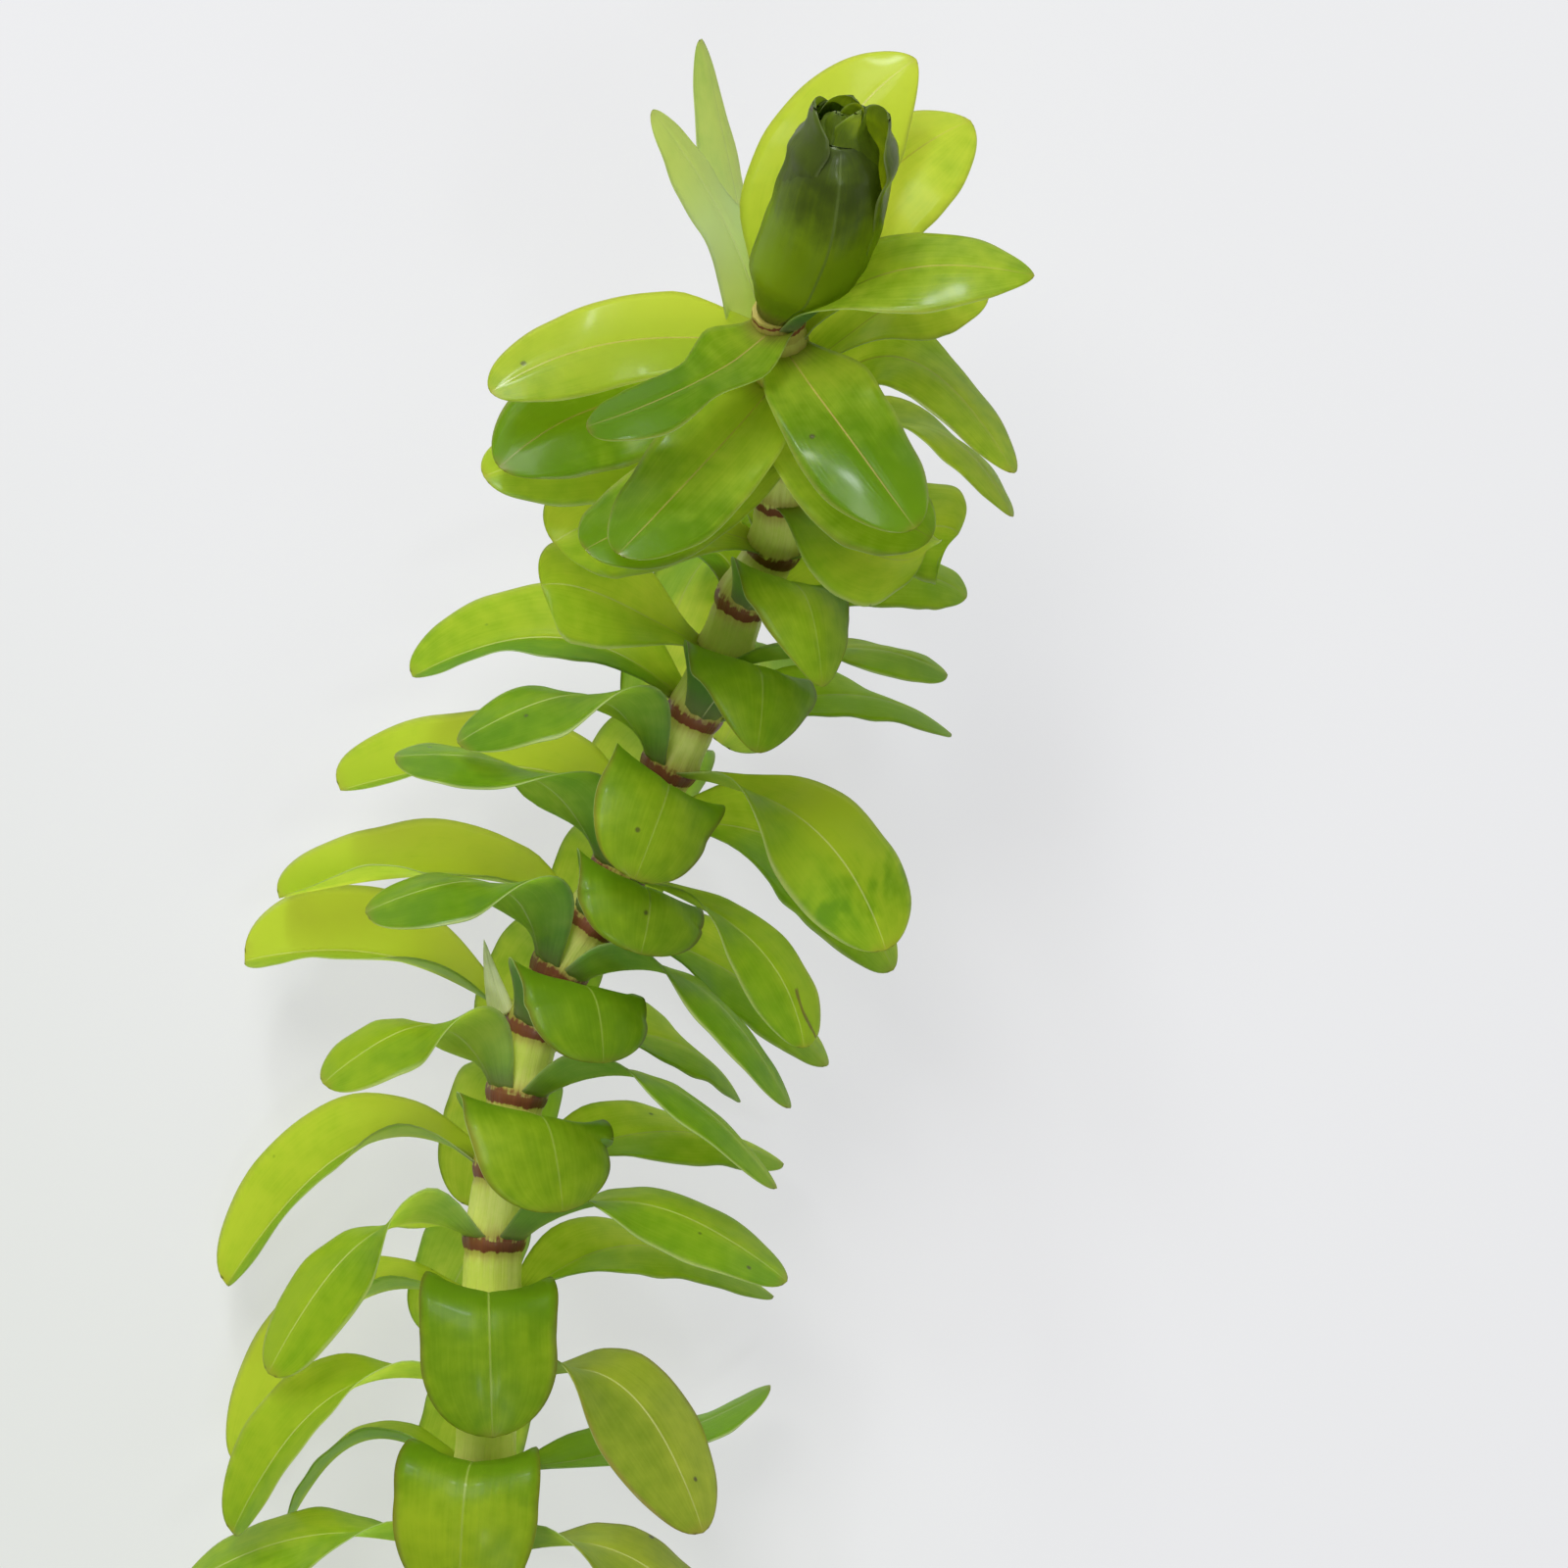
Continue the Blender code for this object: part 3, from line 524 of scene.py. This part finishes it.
# how light each leaf is: partly its own tone, partly painted shade where other leaves and the stem lie behind it
leafTones = {
    (24, "left"): 0.14, (24, "right"): 0.45, (24, "back"): 0.85, (23, "front"): 0.20, (23, "left"): 0.92,
    (23, "right"): 0.90, (22, "left"): 0.46, (22, "right"): 0.80, (22, "back"): 0.78, (21, "front"): 0.42,
    (21, "left"): 0.30, (21, "right"): 0.55, (20, "left"): 0.40, (20, "back"): 0.80, (19, "left"): 0.80,
    (19, "right"): 0.62, (18, "left"): 0.78, (17, "front"): 0.42, (16, "left"): 0.78, (15, "front"): 0.36,
    (14, "left"): 0.52, (14, "right"): 0.78, (13, "front"): 0.40, (13, "left"): 0.85, (12, "left"): 0.52,
    (12, "right"): 0.60, (11, "front"): 0.28, (11, "left"): 0.90, (10, "left"): 0.46, (10, "right"): 0.45,
    (9, "front"): 0.20, (9, "left"): 0.85, (8, "left"): 0.62, (7, "front"): 0.50, (7, "left"): 0.72,
    (6, "left"): 0.62, (5, "front"): 0.36, (5, "left"): 0.70, (4, "left"): 0.72, (4, "right"): 0.55,
    (3, "front"): 0.45,
}
# every leaf's build; a pair says where along the leaf something starts and over what length it grows
leafShape = {
    "thick": 0.11, "thinRim": 0.65, "groove": 0.045, "grooveWidth": 0.09, "grooveEnds": 0.20, "arch": 0.08,
    "trough": -0.34, "opens": (0.14, 0.55), "flatTip": 0.30, "flattens": (0.70, 0.28),
    "neck": 0.34, "neckAt": 0.44, "neckLength": 0.15, "uneven": 0.02, "unevenSteps": 4.0,
    "wave": 0.06, "waveSteps": 5.5, "waves": (0.0, 0.35), "waveEnds": 0.12, "sink": 0.03,
    "leavesStem": (0.0, 0.25), "twists": (0.08, 0.5), "rolls": (0.0, 0.16), "unrolls": (0.30, 0.45),
    "fold": 0.45, "sharpFold": 0.85,
}
# how far a leaf's foot is rolled towards its face, in degrees
footRoll = {"leftCap": 40.0, "leftCapLow": 12.0, "left": -14.0, "leftLow": 6.0, "rightCap": -8.0, "right": 18.0}
# how the lightness runs over a leaf; a side leaf has one half that is lighter or darker, and cooler, by these: a
# painted shade; the darker foot of a front leaf is painted shade, and the whitish middle of the back leaves at
# the top a painted sheen
leafTints = {
    "usual": 0.5, "chance": 0.10, "frontFoot": 0.50, "frontLightens": (0.22, 0.42), "frontTip": 0.14,
    "frontEnds": (0.5, 0.4), "topFoot": 0.42, "topDarkens": 0.62, "topRuns": (0.0, 0.9),
    "paintedSheen": 0.85, "paintedSheenAt": 0.50, "paintedSheenWidth": 0.22, "halfEdge": (0.0, 0.3),
    "leftFolded": (0.10, 0.24, 0.46), "leftOpen": (0.0, 0.12, 0.05), "others": (0.04, 0.14, 0.15),
    "stain": 0.60, "stainAt": 0.80, "stainWidth": 0.13, "shadyLeaf": (0.25, 0.75),
}
# the solids' own numbers, for where a leaf's foot meets the stem
solidShape = {"thickness": 0.24, "gap": 0.06, "root": 0.2}
blankShape = {"lanes": 16, "steps": 40, "tipCrowding": 1.5, "ribCrowding": 1.3, "wall": 0.2}


def selectOnly(*things):
    bpy.ops.object.select_all(action="DESELECT")
    for thing in things:
        thing.select_set(True)
    bpy.context.view_layer.objects.active = things[0]


def addGrid(name, across, along):
    # a flat sheet of faces from -1 to 1 both ways, to be bent in code
    bpy.ops.object.select_all(action="DESELECT")
    bpy.ops.mesh.primitive_grid_add(x_subdivisions=across, y_subdivisions=along, size=2.0)
    sheet = bpy.context.active_object
    sheet.name = name
    return sheet


def makeLeafBlank():
    # a flat leaf of two faces, which every leaf is bent from
    blank = addGrid("leafBlank", blankShape["lanes"], blankShape["steps"])
    wall = blank.modifiers.new("two faces", "SOLIDIFY")
    wall.thickness = blankShape["wall"]
    wall.offset = 0.0
    bpy.ops.object.modifier_apply(modifier=wall.name)
    for face in blank.data.polygons:
        face.material_index = 0 if face.normal.z > 0.5 else 1
    return blank


leafBlank = makeLeafBlank()


def copyBlank(name):
    leaf = leafBlank.copy()
    leaf.data = leafBlank.data.copy()
    leaf.name = name
    leaf.data.name = name
    bpy.context.scene.collection.objects.link(leaf)
    return leaf


def spreadOf(vert):
    # where a point of the blank lies across the leaf, closer together at the rib
    return -math.copysign(abs(vert.co.x) ** blankShape["ribCrowding"], vert.co.x)


def shareOf(step):
    # where a step of the blank, from 0 to 1, lies along the leaf, closer together at the tip
    return 1 - (1 - step) ** blankShape["tipCrowding"]


def kindOf(whorl, side):
    if whorl >= 20:
        return "top"
    return "front" if side == "front" else "side"


def formOf(whorl, side):
    if side == "left" and 1 < whorl < 14:
        return leafForms["sideBlunt"]
    return leafForms[oddForms.get((whorl, side), kindOf(whorl, side))]


def upperOf(whorl, side):
    return leafMaterials[oddLooks.get((whorl, side), kindOf(whorl, side) + "Leaf")]


def isGrownIn(whorl, side):
    return whorl == 1 or (side == "back" and whorl < 20) or (whorl, side) == (17, "left")


def howOpen(whorl, side):
    if side == "left" and whorl % 2 == 0 and whorl < 16:
        return footRoll["leftCap" if whorl > 5 else "leftCapLow"]
    if side == "left":
        return footRoll["left" if whorl > 9 else "leftLow"]
    if side == "right":
        return footRoll["right" if whorl % 2 else "rightCap"]
    return 0.0


def howFolded(whorl, side):
    # 0 for a round trough, 1 for a sharp fold along the midrib
    if side == "front":
        return 0.0
    return leafShape["sharpFold" if side == "left" and whorl < 16 else "fold"]


def leafTint(whorl, side, share, spread, seed):
    # how light a spot of a leaf is, and how much painted cool shade and painted sheen lie on it
    tints = leafTints
    tone = leafTones.get((whorl, side), tints["usual"]) + tints["chance"] * chance(seed, 3.1, 5.7)
    kind = kindOf(whorl, side)
    # a front leaf is darker towards its foot, a painted shade, and a little lighter towards its tip
    if kind == "front":
        tone = tone - tints["frontFoot"] * (1 - rise(share, *tints["frontLightens"]))
        return tone + tints["frontTip"] * rise(share, *tints["frontEnds"]), 0.0
    # the back leaves at the top get a whitish painted sheen across their middle
    if kind == "top" and side in ("back", "right"):
        hasPaintedSheen = side == "back" and whorl < 24
        return tone, tints["paintedSheen"] * bell(share - tints["paintedSheenAt"], tints["paintedSheenWidth"]) if hasPaintedSheen else 0.0
    if kind == "top":
        return tone + tints["topFoot"] - tints["topDarkens"] * rise(share, *tints["topRuns"]), 0.0
    # this leaf is in painted shade: darker and cooler all over
    if (whorl, side) == (3, "right"):
        return tone - tints["shadyLeaf"][0], tints["shadyLeaf"][1]
    if (whorl, side) == (14, "right"):
        patchy = 0.7 + 0.6 * chance(share * 14.0, spread * 6.0, 2.2)
        tone = tone - tints["stain"] * bell(share - tints["stainAt"], tints["stainWidth"]) * patchy
    # one half of a side leaf gets a painted shade, darker and cooler, and the whole leaf is a little lighter
    if side == "left":
        lighter, darker, paintedCoolShade = tints["leftFolded" if whorl % 2 else "leftOpen"]
        half = rise(spread, *tints["halfEdge"])
    else:
        lighter, darker, paintedCoolShade = tints["others"]
        half = rise(-spread, *tints["halfEdge"])
    return tone + lighter - darker * half, paintedCoolShade * half


def halfWidth(share, width, foot, form):
    half = width / 2
    if form is leafForms["topNecked"]:
        half = half * (1 - leafShape["neck"] * bell(share - leafShape["neckAt"], leafShape["neckLength"]))
    if share < form["widest"]:
        return foot + (half - foot) * math.sin(math.pi / 2 * (share / form["widest"])) ** (1 / form["fullness"])
    rest = (share - form["widest"]) / (1 - form["widest"])
    return half * max(1 - rest ** form["oblong"], 0.0) ** form["blunt"]


def bladeRows(centre, frameAt, hold, row, seed, opening, form):
    # what each row of points across a leaf needs: its midrib point, its directions and its half width
    azimuth, lift, reach, tip, width, twist, cup = row
    along, front, right = frameAt
    turn = math.radians(azimuth)
    lift = math.radians(lift)
    outward = around(front, right, turn)
    sideways = right * math.cos(turn) - front * math.sin(turn)
    foot = centre + outward * hold
    bend = foot + around(outward, along, lift) * reach
    tip = Vector(tip)
    footHalf = min(form["footAngle"] * hold, width / 2 * form["footShare"])
    carried = sideways
    rows = []
    for step in range(blankShape["steps"] + 1):
        share = shareOf(step / blankShape["steps"])
        heading = ((bend - foot) * (1 - share) + (tip - bend) * share).normalized()
        carried = (carried - heading * carried.dot(heading)).normalized()
        rolled = rise(share, *leafShape["rolls"]) * (1 - rise(share, *leafShape["unrolls"]))
        spin = math.radians(twist) * rise(share, *leafShape["twists"]) + math.radians(opening) * rolled
        across = around(carried, heading.cross(carried), spin)
        uneven = 1 + leafShape["uneven"] * chance(seed, share * leafShape["unevenSteps"], 0.2)
        rows.append({
            "share": share, "outward": outward, "sideways": sideways, "across": across,
            "rib": foot * (1 - share) ** 2 + bend * (2 * share * (1 - share)) + tip * share ** 2,
            "face": heading.cross(across), "free": rise(share, *leafShape["leavesStem"]),
            "lean": (along * math.cos(lift), math.sin(lift)),
            "half": halfWidth(share, width, footHalf, form) * uneven,
        })
    return rows


def bladePoint(row, spread, layer, hold, sink, cup, seed, fold):
    # one point of a leaf: on the blade where the leaf is free, round the stem at its foot
    share = row["share"]
    half = row["half"]
    side = 1.0 if spread > 0 else -1.0
    wave = chance(seed + side * 2.3, share * leafShape["waveSteps"], 0.7) * leafShape["wave"] * spread ** 2
    wave = wave * rise(share, *leafShape["waves"]) * ease((1 - share) / leafShape["waveEnds"])
    groove = leafShape["groove"] * bell(spread, leafShape["grooveWidth"])
    groove = groove * ease((1 - share) / leafShape["grooveEnds"])
    opened = rise(share, *leafShape["opens"])
    cup = leafShape["trough"] * (1 - opened) + (cup + leafShape["arch"]) * opened
    cup = cup * (1 - leafShape["flatTip"] * rise(share, *leafShape["flattens"]))
    bowed = spread ** 2 * (1 - fold) + abs(spread) * fold
    lift = wave - groove - cup * half * bowed
    blade = row["rib"] + row["across"] * (spread * half) + row["face"] * lift
    spoke = around(row["outward"], row["sideways"], spread * half / hold)
    clasp = row["rib"] + (spoke - row["outward"]) * hold - spoke * sink
    lean = row["lean"][0] - spoke * row["lean"][1]
    point = clasp.lerp(blade, row["free"])
    normal = lean.lerp(row["face"], row["free"]).normalized()
    thick = leafShape["thick"] / 2 * (1 - leafShape["thinRim"] * spread ** 2) * (1 - share ** 6)
    return point + normal * (layer * thick)


def addTint(piece, tints):
    # a second map of the piece, one pair of values for each point
    tint = piece.data.uv_layers.new(name="tint")
    for corner in piece.data.loops:
        tint.data[corner.index].uv = tints[corner.vertex_index]
    piece.data.uv_layers.active_index = 0


def bendBlade(name, centre, frameAt, hold, sink, row, seed, materials, opening=0.0, fold=0.0,
              spotOn=(0, "side"), pointed=0.0):
    # a leaf, or with pointed a scale that narrows to a point all the way
    blade = copyBlank(name)
    rows = bladeRows(centre, frameAt, hold, row, seed, opening, formOf(*spotOn))
    if pointed:
        for line in rows:
            line["half"] = row[4] / 2 * (1 - line["share"]) ** pointed
    tints = []
    for vert in blade.data.vertices:
        line = rows[round((vert.co.y + 1) / 2 * blankShape["steps"])]
        spread = spreadOf(vert)
        layer = 1.0 if vert.co.z > 0 else -1.0
        vert.co = place(bladePoint(line, max(-1.0, min(1.0, spread)), layer, hold, sink, row[6], seed, fold))
        tints.append(leafTint(*spotOn, line["share"], spread, seed))
    addTint(blade, tints)
    for material in materials:
        blade.data.materials.append(material)
    return blade


def mergePoints(thing, distance=0.000002):
    selectOnly(thing)
    bpy.ops.object.mode_set(mode="EDIT")
    bpy.ops.mesh.select_all(action="SELECT")
    bpy.ops.mesh.remove_doubles(threshold=distance)
    bpy.ops.object.mode_set(mode="OBJECT")
    bpy.ops.object.shade_smooth()


def handOver(piece, slot, *nodes):
    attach(piece, "root")
    if nodes:
        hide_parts(*nodes)


def makeBlades():
    for number, (whorl, side, *row) in enumerate(leaves):
        grown = isGrownIn(whorl, side)
        depth = -solidShape["root"] if grown else solidShape["gap"]
        hold = stemRadius(whorl) + depth + solidShape["thickness"] / 2
        sink = depth + solidShape["thickness"] / 2 + leafShape["sink"]
        materials = (upperOf(whorl, side), leafMaterials["leafUnder"])
        blade = bendBlade("blade_%02d_%s" % (whorl, side), stemLine[whorl], stemFrame(whorl), hold, sink, row,
                          number * 1.7, materials, howOpen(whorl, side), howFolded(whorl, side), (whorl, side))
        mergePoints(blade)
        handOver(blade, "leaf", "stem" if grown else "leaf_%02d_%s" % (whorl, side))


# ---- the stem, a sheet rolled round its line
def measureStem():
    # the length at even steps along the stem's line, and at each whorl
    steps = stemShape["steps"]
    lengths = [0.0]
    for step in range(1, (len(stemLine) - 1) * steps + 1):
        gap = (stemPoint(step / steps) - stemPoint((step - 1) / steps)).length
        lengths.append(lengths[-1] + gap)
    return lengths, [lengths[index * steps] for index in range(1, len(stemLine) - 1)]


def stemSpot(run):
    # the stem's middle and its directions at any place along it
    top = len(stemLine) - 1.0001
    ahead = stemPoint(min(run + stemShape["ahead"], top))
    behind = stemPoint(max(run - stemShape["ahead"], 0.0))
    return stemPoint(min(max(run, 0.0), top)), *frameOn((ahead - behind).normalized())


def stemRings(lengths):
    # run, length, share of the radius and push along the stem, for each ring of the sheet
    rings = stemShape["rings"]
    caps = stemShape["cutRings"]
    found = [(0.0, 0.0, share, push) for share, push in caps]
    cursor = 0
    for ring in range(rings + 1):
        goal = lengths[-1] * ring / rings
        while cursor < len(lengths) - 2 and lengths[cursor + 1] < goal:
            cursor += 1
        part = (goal - lengths[cursor]) / (lengths[cursor + 1] - lengths[cursor])
        found.append(((cursor + part) / stemShape["steps"], goal, 1.0, 0.0))
    return found + [(len(stemLine) - 1.0, lengths[-1], share, 0.0) for share, push in reversed(caps)]


def stemSurface(run, length, away, turn):
    # how far the skin is from the stem's middle; away is the length from the nearest whorl
    shape = stemShape
    radius = stemRadius(run) + shape["swelling"] * bell(away, shape["swellingLength"])
    radius = radius - shape["waist"] * bell(away + shape["waistBelow"], shape["waistLength"])
    sway = shape["fluteSway"] * math.sin(length * shape["swayLength"])
    radius = radius + shape["fluteDepth"] * math.sin(shape["flutes"] * turn + sway)
    lump = noise.noise(Vector((math.cos(turn), math.sin(turn), length * shape["lumpLength"])))
    return radius + shape["lumps"] * lump


def stemTint(run, length, away, above, fromTop, turn):
    # how much of the brown band and of the blush is on a spot of the stem
    shape = bandShape
    strength = 1 - shape["weaker"] * rise(run, *shape["weakerFrom"])
    ragged = shape["ragged"] * noise.noise(Vector((math.cos(turn) * 4, math.sin(turn) * 4, length * 2.0)))
    main = bell(away + shape["below"] + ragged, shape["width"])
    edge = shape["edge"] * bell(away - shape["edgeAbove"], shape["edgeWidth"])
    rings = max(bell(fromTop - below, shape["budRingWidth"]) for below in shape["budRings"])
    blush = math.exp(-above / shape["blushLength"]) * shape["blush"]
    blush = blush + shape["blush"] * bell(away + shape["blushBelow"], shape["blushWidth"])
    blush = blush + shape["blush"] * rise(run, *shape["blushTop"])
    return strength * (main + edge) + shape["budRing"] * rings, blush


def makeStem():
    lengths, whorlLengths = measureStem()
    rings = stemRings(lengths)
    total = len(rings) - 1
    stalk = addGrid("stalk", stemShape["sides"], total)
    spots = [stemSpot(ring[0]) for ring in rings]
    cutEnd = len(stemShape["cutRings"]) - 0.6
    cutFaces = [face.index for face in stalk.data.polygons if (face.center.y + 1) / 2 * total < cutEnd]
    tints = []
    for vert in stalk.data.vertices:
        ring = round((vert.co.y + 1) / 2 * total)
        run, length, share, push = rings[ring]
        centre, along, front, right = spots[ring]
        turn = vert.co.x * math.pi
        past = [length - whorlLength for whorlLength in whorlLengths]
        away = min(past, key=abs)
        above = min([gap for gap in past if gap >= 0] or [9.0])
        radius = stemSurface(run, length, away, turn)
        vert.co = place(centre + around(front, right, turn) * (radius * share) + along * push)
        tints.append(stemTint(run, length, away, above, lengths[-1] - length, turn))
    addTint(stalk, tints)
    stalk.data.materials.append(stemSkin)
    stalk.data.materials.append(stemCut)
    for index in cutFaces:
        stalk.data.polygons[index].material_index = 1
    mergePoints(stalk)
    bpy.ops.object.shade_smooth_by_angle(angle=math.radians(stemShape["sharpEdge"]))
    handOver(stalk, "stem", "stem")


# ---- the bud: young leaves wrapped round a pointed core
budShape = {
    "top": (1.6, 18.7, 21.7), "turns": 32, "steps": 40, "sink": 0.05, "lean": 0.42,
    "ridges": 5, "ridgeTwist": 9, "ridge": 0.04, "light": 0.3, "seed": 200,
    "core": ((0.0, 0.60), (0.10, 0.86), (0.28, 1.26), (0.58, 1.30), (0.80, 1.08), (0.94, 0.62), (1.0, 0.0)),
    "form": {"widest": 0.52, "fullness": 0.85, "oblong": 3.2, "blunt": 0.54},
}
budTints = {
    "foot": 1.02, "darker": 0.85, "darkens": (0.40, 0.38), "chance": 0.08,
    "paintedBudSheen": 0.28, "lessPaintedBudSheen": 0.3, "paintedBudSheenRises": (0.68, 0.28),
}
scaleShape = {
    "highest": 0.95, "least": 0.30, "opens": 0.25, "tipOpens": (0.55, 0.45), "foot": 1.1, "footShare": 0.8,
    "tightest": 0.75, "ripple": 0.035, "ripples": 5.0, "rippleFrom": 0.3, "rib": 0.05, "ribWidth": 0.09,
    "ribEnds": 0.2, "thinRim": 0.6, "clasp": 0.10, "clasps": (0.2, 0.4),
}
budLeaves = [
    # azimuth, foot and tip as shares of the core, width, gap in the middle, gap at the tip, how light
    (150, 0.02, 1.02, 3.6, 0.14, 0.25, 0.2),
    (-150, 0.02, 0.98, 3.6, 0.18, 0.30, 0.2),
    (-30, 0.25, 1.06, 2.6, 0.04, -0.10, 0.25),
    (40, 0.22, 1.08, 2.6, 0.06, 0.00, 0.45),
    (100, 0.22, 1.04, 2.6, 0.10, 0.12, 0.3),
    (-100, 0.10, 1.04, 3.2, 0.18, 0.34, 0.1),
    (100, 0.12, 1.00, 3.2, 0.40, 0.92, 0.1),
    (-4, 0.00, 0.93, 5.6, 0.34, 0.12, 0.0),
]


def coreRadius(share):
    stops = budShape["core"]
    for (low, first), (high, second) in zip(stops, stops[1:]):
        if share <= high:
            return first + (second - first) * rise(share, low, high - low)
    return 0.0


def budTint(height, light, seed):
    # green and clear below, dark in the middle, with a grey painted sheen towards the top
    tone = budTints["foot"] - (budTints["darker"] - light) * rise(height, *budTints["darkens"])
    tone = tone + budTints["chance"] * chance(seed, height * 3.0, 1.9)
    return tone, (budTints["paintedBudSheen"] - light * budTints["lessPaintedBudSheen"]) * rise(height, *budTints["paintedBudSheenRises"])


def budPoint(foot, axis, right, height, outward, away):
    # a point beside the core, whose middle bows to the right
    lean = budShape["lean"] * math.sin(math.pi * min(height, 1.0))
    return place(foot + axis * height + right * lean + outward * away)


def wrapScale(foot, axis, frameAt, leaf, seed):
    # a young leaf that lies round the core
    azimuth, start, end, width, middleGap, tipGap, light = leaf
    along, front, right = frameAt
    shape = scaleShape
    scale = copyBlank("budScale")
    tints = []
    for vert in scale.data.vertices:
        share = shareOf((vert.co.y + 1) / 2)
        spread = spreadOf(vert)
        height = start + (end - start) * share
        radius = max(coreRadius(min(height, shape["highest"])), shape["least"])
        radius = radius + middleGap * ease(share / shape["opens"])
        radius = radius + (tipGap - middleGap) * rise(share, *shape["tipOpens"])
        half = halfWidth(share, width, min(shape["foot"], width / 2 * shape["footShare"]), budShape["form"])
        angle = math.radians(azimuth) + spread * half / max(radius, shape["tightest"])
        ripple = shape["ripple"] * chance(seed + spread * 1.4, share * shape["ripples"], 0.4)
        ripple = ripple * ease(share / shape["rippleFrom"])
        rib = shape["rib"] * bell(spread, shape["ribWidth"]) * ease((1 - share) / shape["ribEnds"])
        thick = leafShape["thick"] / 2 * (1 - shape["thinRim"] * spread ** 2) * (1 - share ** 6)
        side = -1.0 if vert.co.z > 0 else 1.0
        clasp = shape["clasp"] * spread ** 2 * rise(share, *shape["clasps"])
        away = radius + ripple + rib + side * thick - clasp
        vert.co = budPoint(foot, axis, right, height, around(front, right, angle), away)
        tints.append(budTint(height, light, seed))
    addTint(scale, tints)
    for face in range(2):
        scale.data.materials.append(leafMaterials["youngLeaf"])
    return scale


def makeBud():
    along, front, right = stemFrame(len(stemLine) - 1)
    foot = stemLine[-1] - along * budShape["sink"]
    axis = Vector(budShape["top"]) - foot
    along, front, right = frameOn(axis.normalized(), front)
    core = addGrid("budTip", budShape["turns"], budShape["steps"])
    tints = []
    for vert in core.data.vertices:
        share = (vert.co.y + 1) / 2
        turn = vert.co.x * math.pi
        ridge = budShape["ridge"] * math.sin(budShape["ridges"] * turn + share * budShape["ridgeTwist"])
        vert.co = budPoint(foot, axis, right, share, around(front, right, turn), coreRadius(share) * (1 + ridge))
        tints.append(budTint(share, budShape["light"], 0.0))
    addTint(core, tints)
    core.data.materials.append(leafMaterials["youngLeaf"])
    parts = [core]
    for number, leaf in enumerate(budLeaves):
        parts.append(wrapScale(foot, axis, (along, front, right), leaf, budShape["seed"] + number * 1.7))
    for part in parts:
        mergePoints(part)
    selectOnly(*parts)
    bpy.ops.object.join()
    handOver(bpy.context.active_object, "young_leaf", "bud")


# ---- the small pale scale beside the ninth whorl
sheathShape = {
    "foot": (-8.42, -6.9, 5.9), "middle": (-8.75, -5.8, 6.5), "tip": (-8.95, -4.62, 6.6), "width": 0.85,
    "lift": 89, "cup": -0.25, "hold": 0.5, "seed": 91.0, "pointed": 0.85,
}


def makeSheath():
    foot = Vector(sheathShape["foot"])
    middle = Vector(sheathShape["middle"])
    frameAt = frameOn((middle - foot).normalized())
    hold = sheathShape["hold"]
    row = (0, sheathShape["lift"], (middle - foot).length, sheathShape["tip"], sheathShape["width"], 0,
           sheathShape["cup"])
    scale = bendBlade("paleScale", foot - frameAt[1] * hold, frameAt, hold, 0.0, row, sheathShape["seed"],
                      (paleSheath, paleSheath), pointed=sheathShape["pointed"])
    mergePoints(scale)
    handOver(scale, "leaf")


makeBlades()
print("leaves made:", len(leaves))
makeStem()
print("stem made")
makeBud()
print("bud made")
makeSheath()
bpy.data.objects.remove(leafBlank, do_unlink=True)
print("pale scale made")


# ---- floor and light
roomLook = {
    "floor": (0.15, 0.15, 0.15, 1), "floorGlow": (0.985, 0.98, 1.0, 1), "cornerGlow": (0.89, 0.91, 0.86, 1),
    "floorGlowStrength": 0.645, "floorRoughness": 0.7, "floorSize": 3.0,
    "cornerEdge": (-0.036, 0.004), "cornerSlope": 0.8,
    "sky": (0.88, 0.94, 1.0, 1), "skyStrength": 0.22,
}
lamps = [
    # name, place in mm, size in mm, watts, colour
    ("mainLamp", (-70.0, 200.0, 310.0), 180.0, 0.95, (1.0, 1.0, 0.97)),
    ("windowLamp", (-45.0, 253.0, 190.0), 42.0, 0.42, (0.90, 0.95, 1.0)),
    ("lowLamp", (30.0, -140.0, 280.0), 46.0, 0.12, (0.90, 0.95, 1.0)),
    ("fillLamp", (120.0, -230.0, 260.0), 120.0, 0.16, (0.85, 0.94, 1.0)),
]


def makeFloor():
    bpy.ops.object.select_all(action="DESELECT")
    bpy.ops.mesh.primitive_plane_add(size=roomLook["floorSize"])
    floor = bpy.context.active_object
    floor.name = "floor"
    paint = Recipe("paleFloor")
    spot = paint.space()
    slope = paint.axis(spot, 0) + paint.axis(spot, 1) * roomLook["cornerSlope"]
    corner = paint.between(slope, *roomLook["cornerEdge"])
    floor.data.materials.append(paint.show(paint.skin({
        "Base Color": roomLook["floor"], "Roughness": roomLook["floorRoughness"],
        "Emission Color": paint.blend(corner, roomLook["cornerGlow"], roomLook["floorGlow"]),
        "Emission Strength": roomLook["floorGlowStrength"]})))


def addLamps():
    for name, spot, size, watts, colour in lamps:
        lamp = bpy.data.lights.new(name, "AREA")
        lamp.shape = "DISK"
        lamp.size = size * mm
        lamp.energy = watts
        lamp.color = colour
        holder = bpy.data.objects.new(name, lamp)
        holder.location = Vector(spot) * mm
        holder.rotation_euler = (-Vector(spot)).to_track_quat("-Z", "Y").to_euler()
        bpy.context.scene.collection.objects.link(holder)


def paintSky():
    world = bpy.data.worlds.new("studio")
    world.use_nodes = True
    back = world.node_tree.nodes["Background"]
    back.inputs["Color"].default_value = roomLook["sky"]
    back.inputs["Strength"].default_value = roomLook["skyStrength"]
    bpy.context.scene.world = world


makeFloor()
addLamps()
paintSky()
bpy.context.scene.view_settings.view_transform = "Standard"
print("floor and light made")
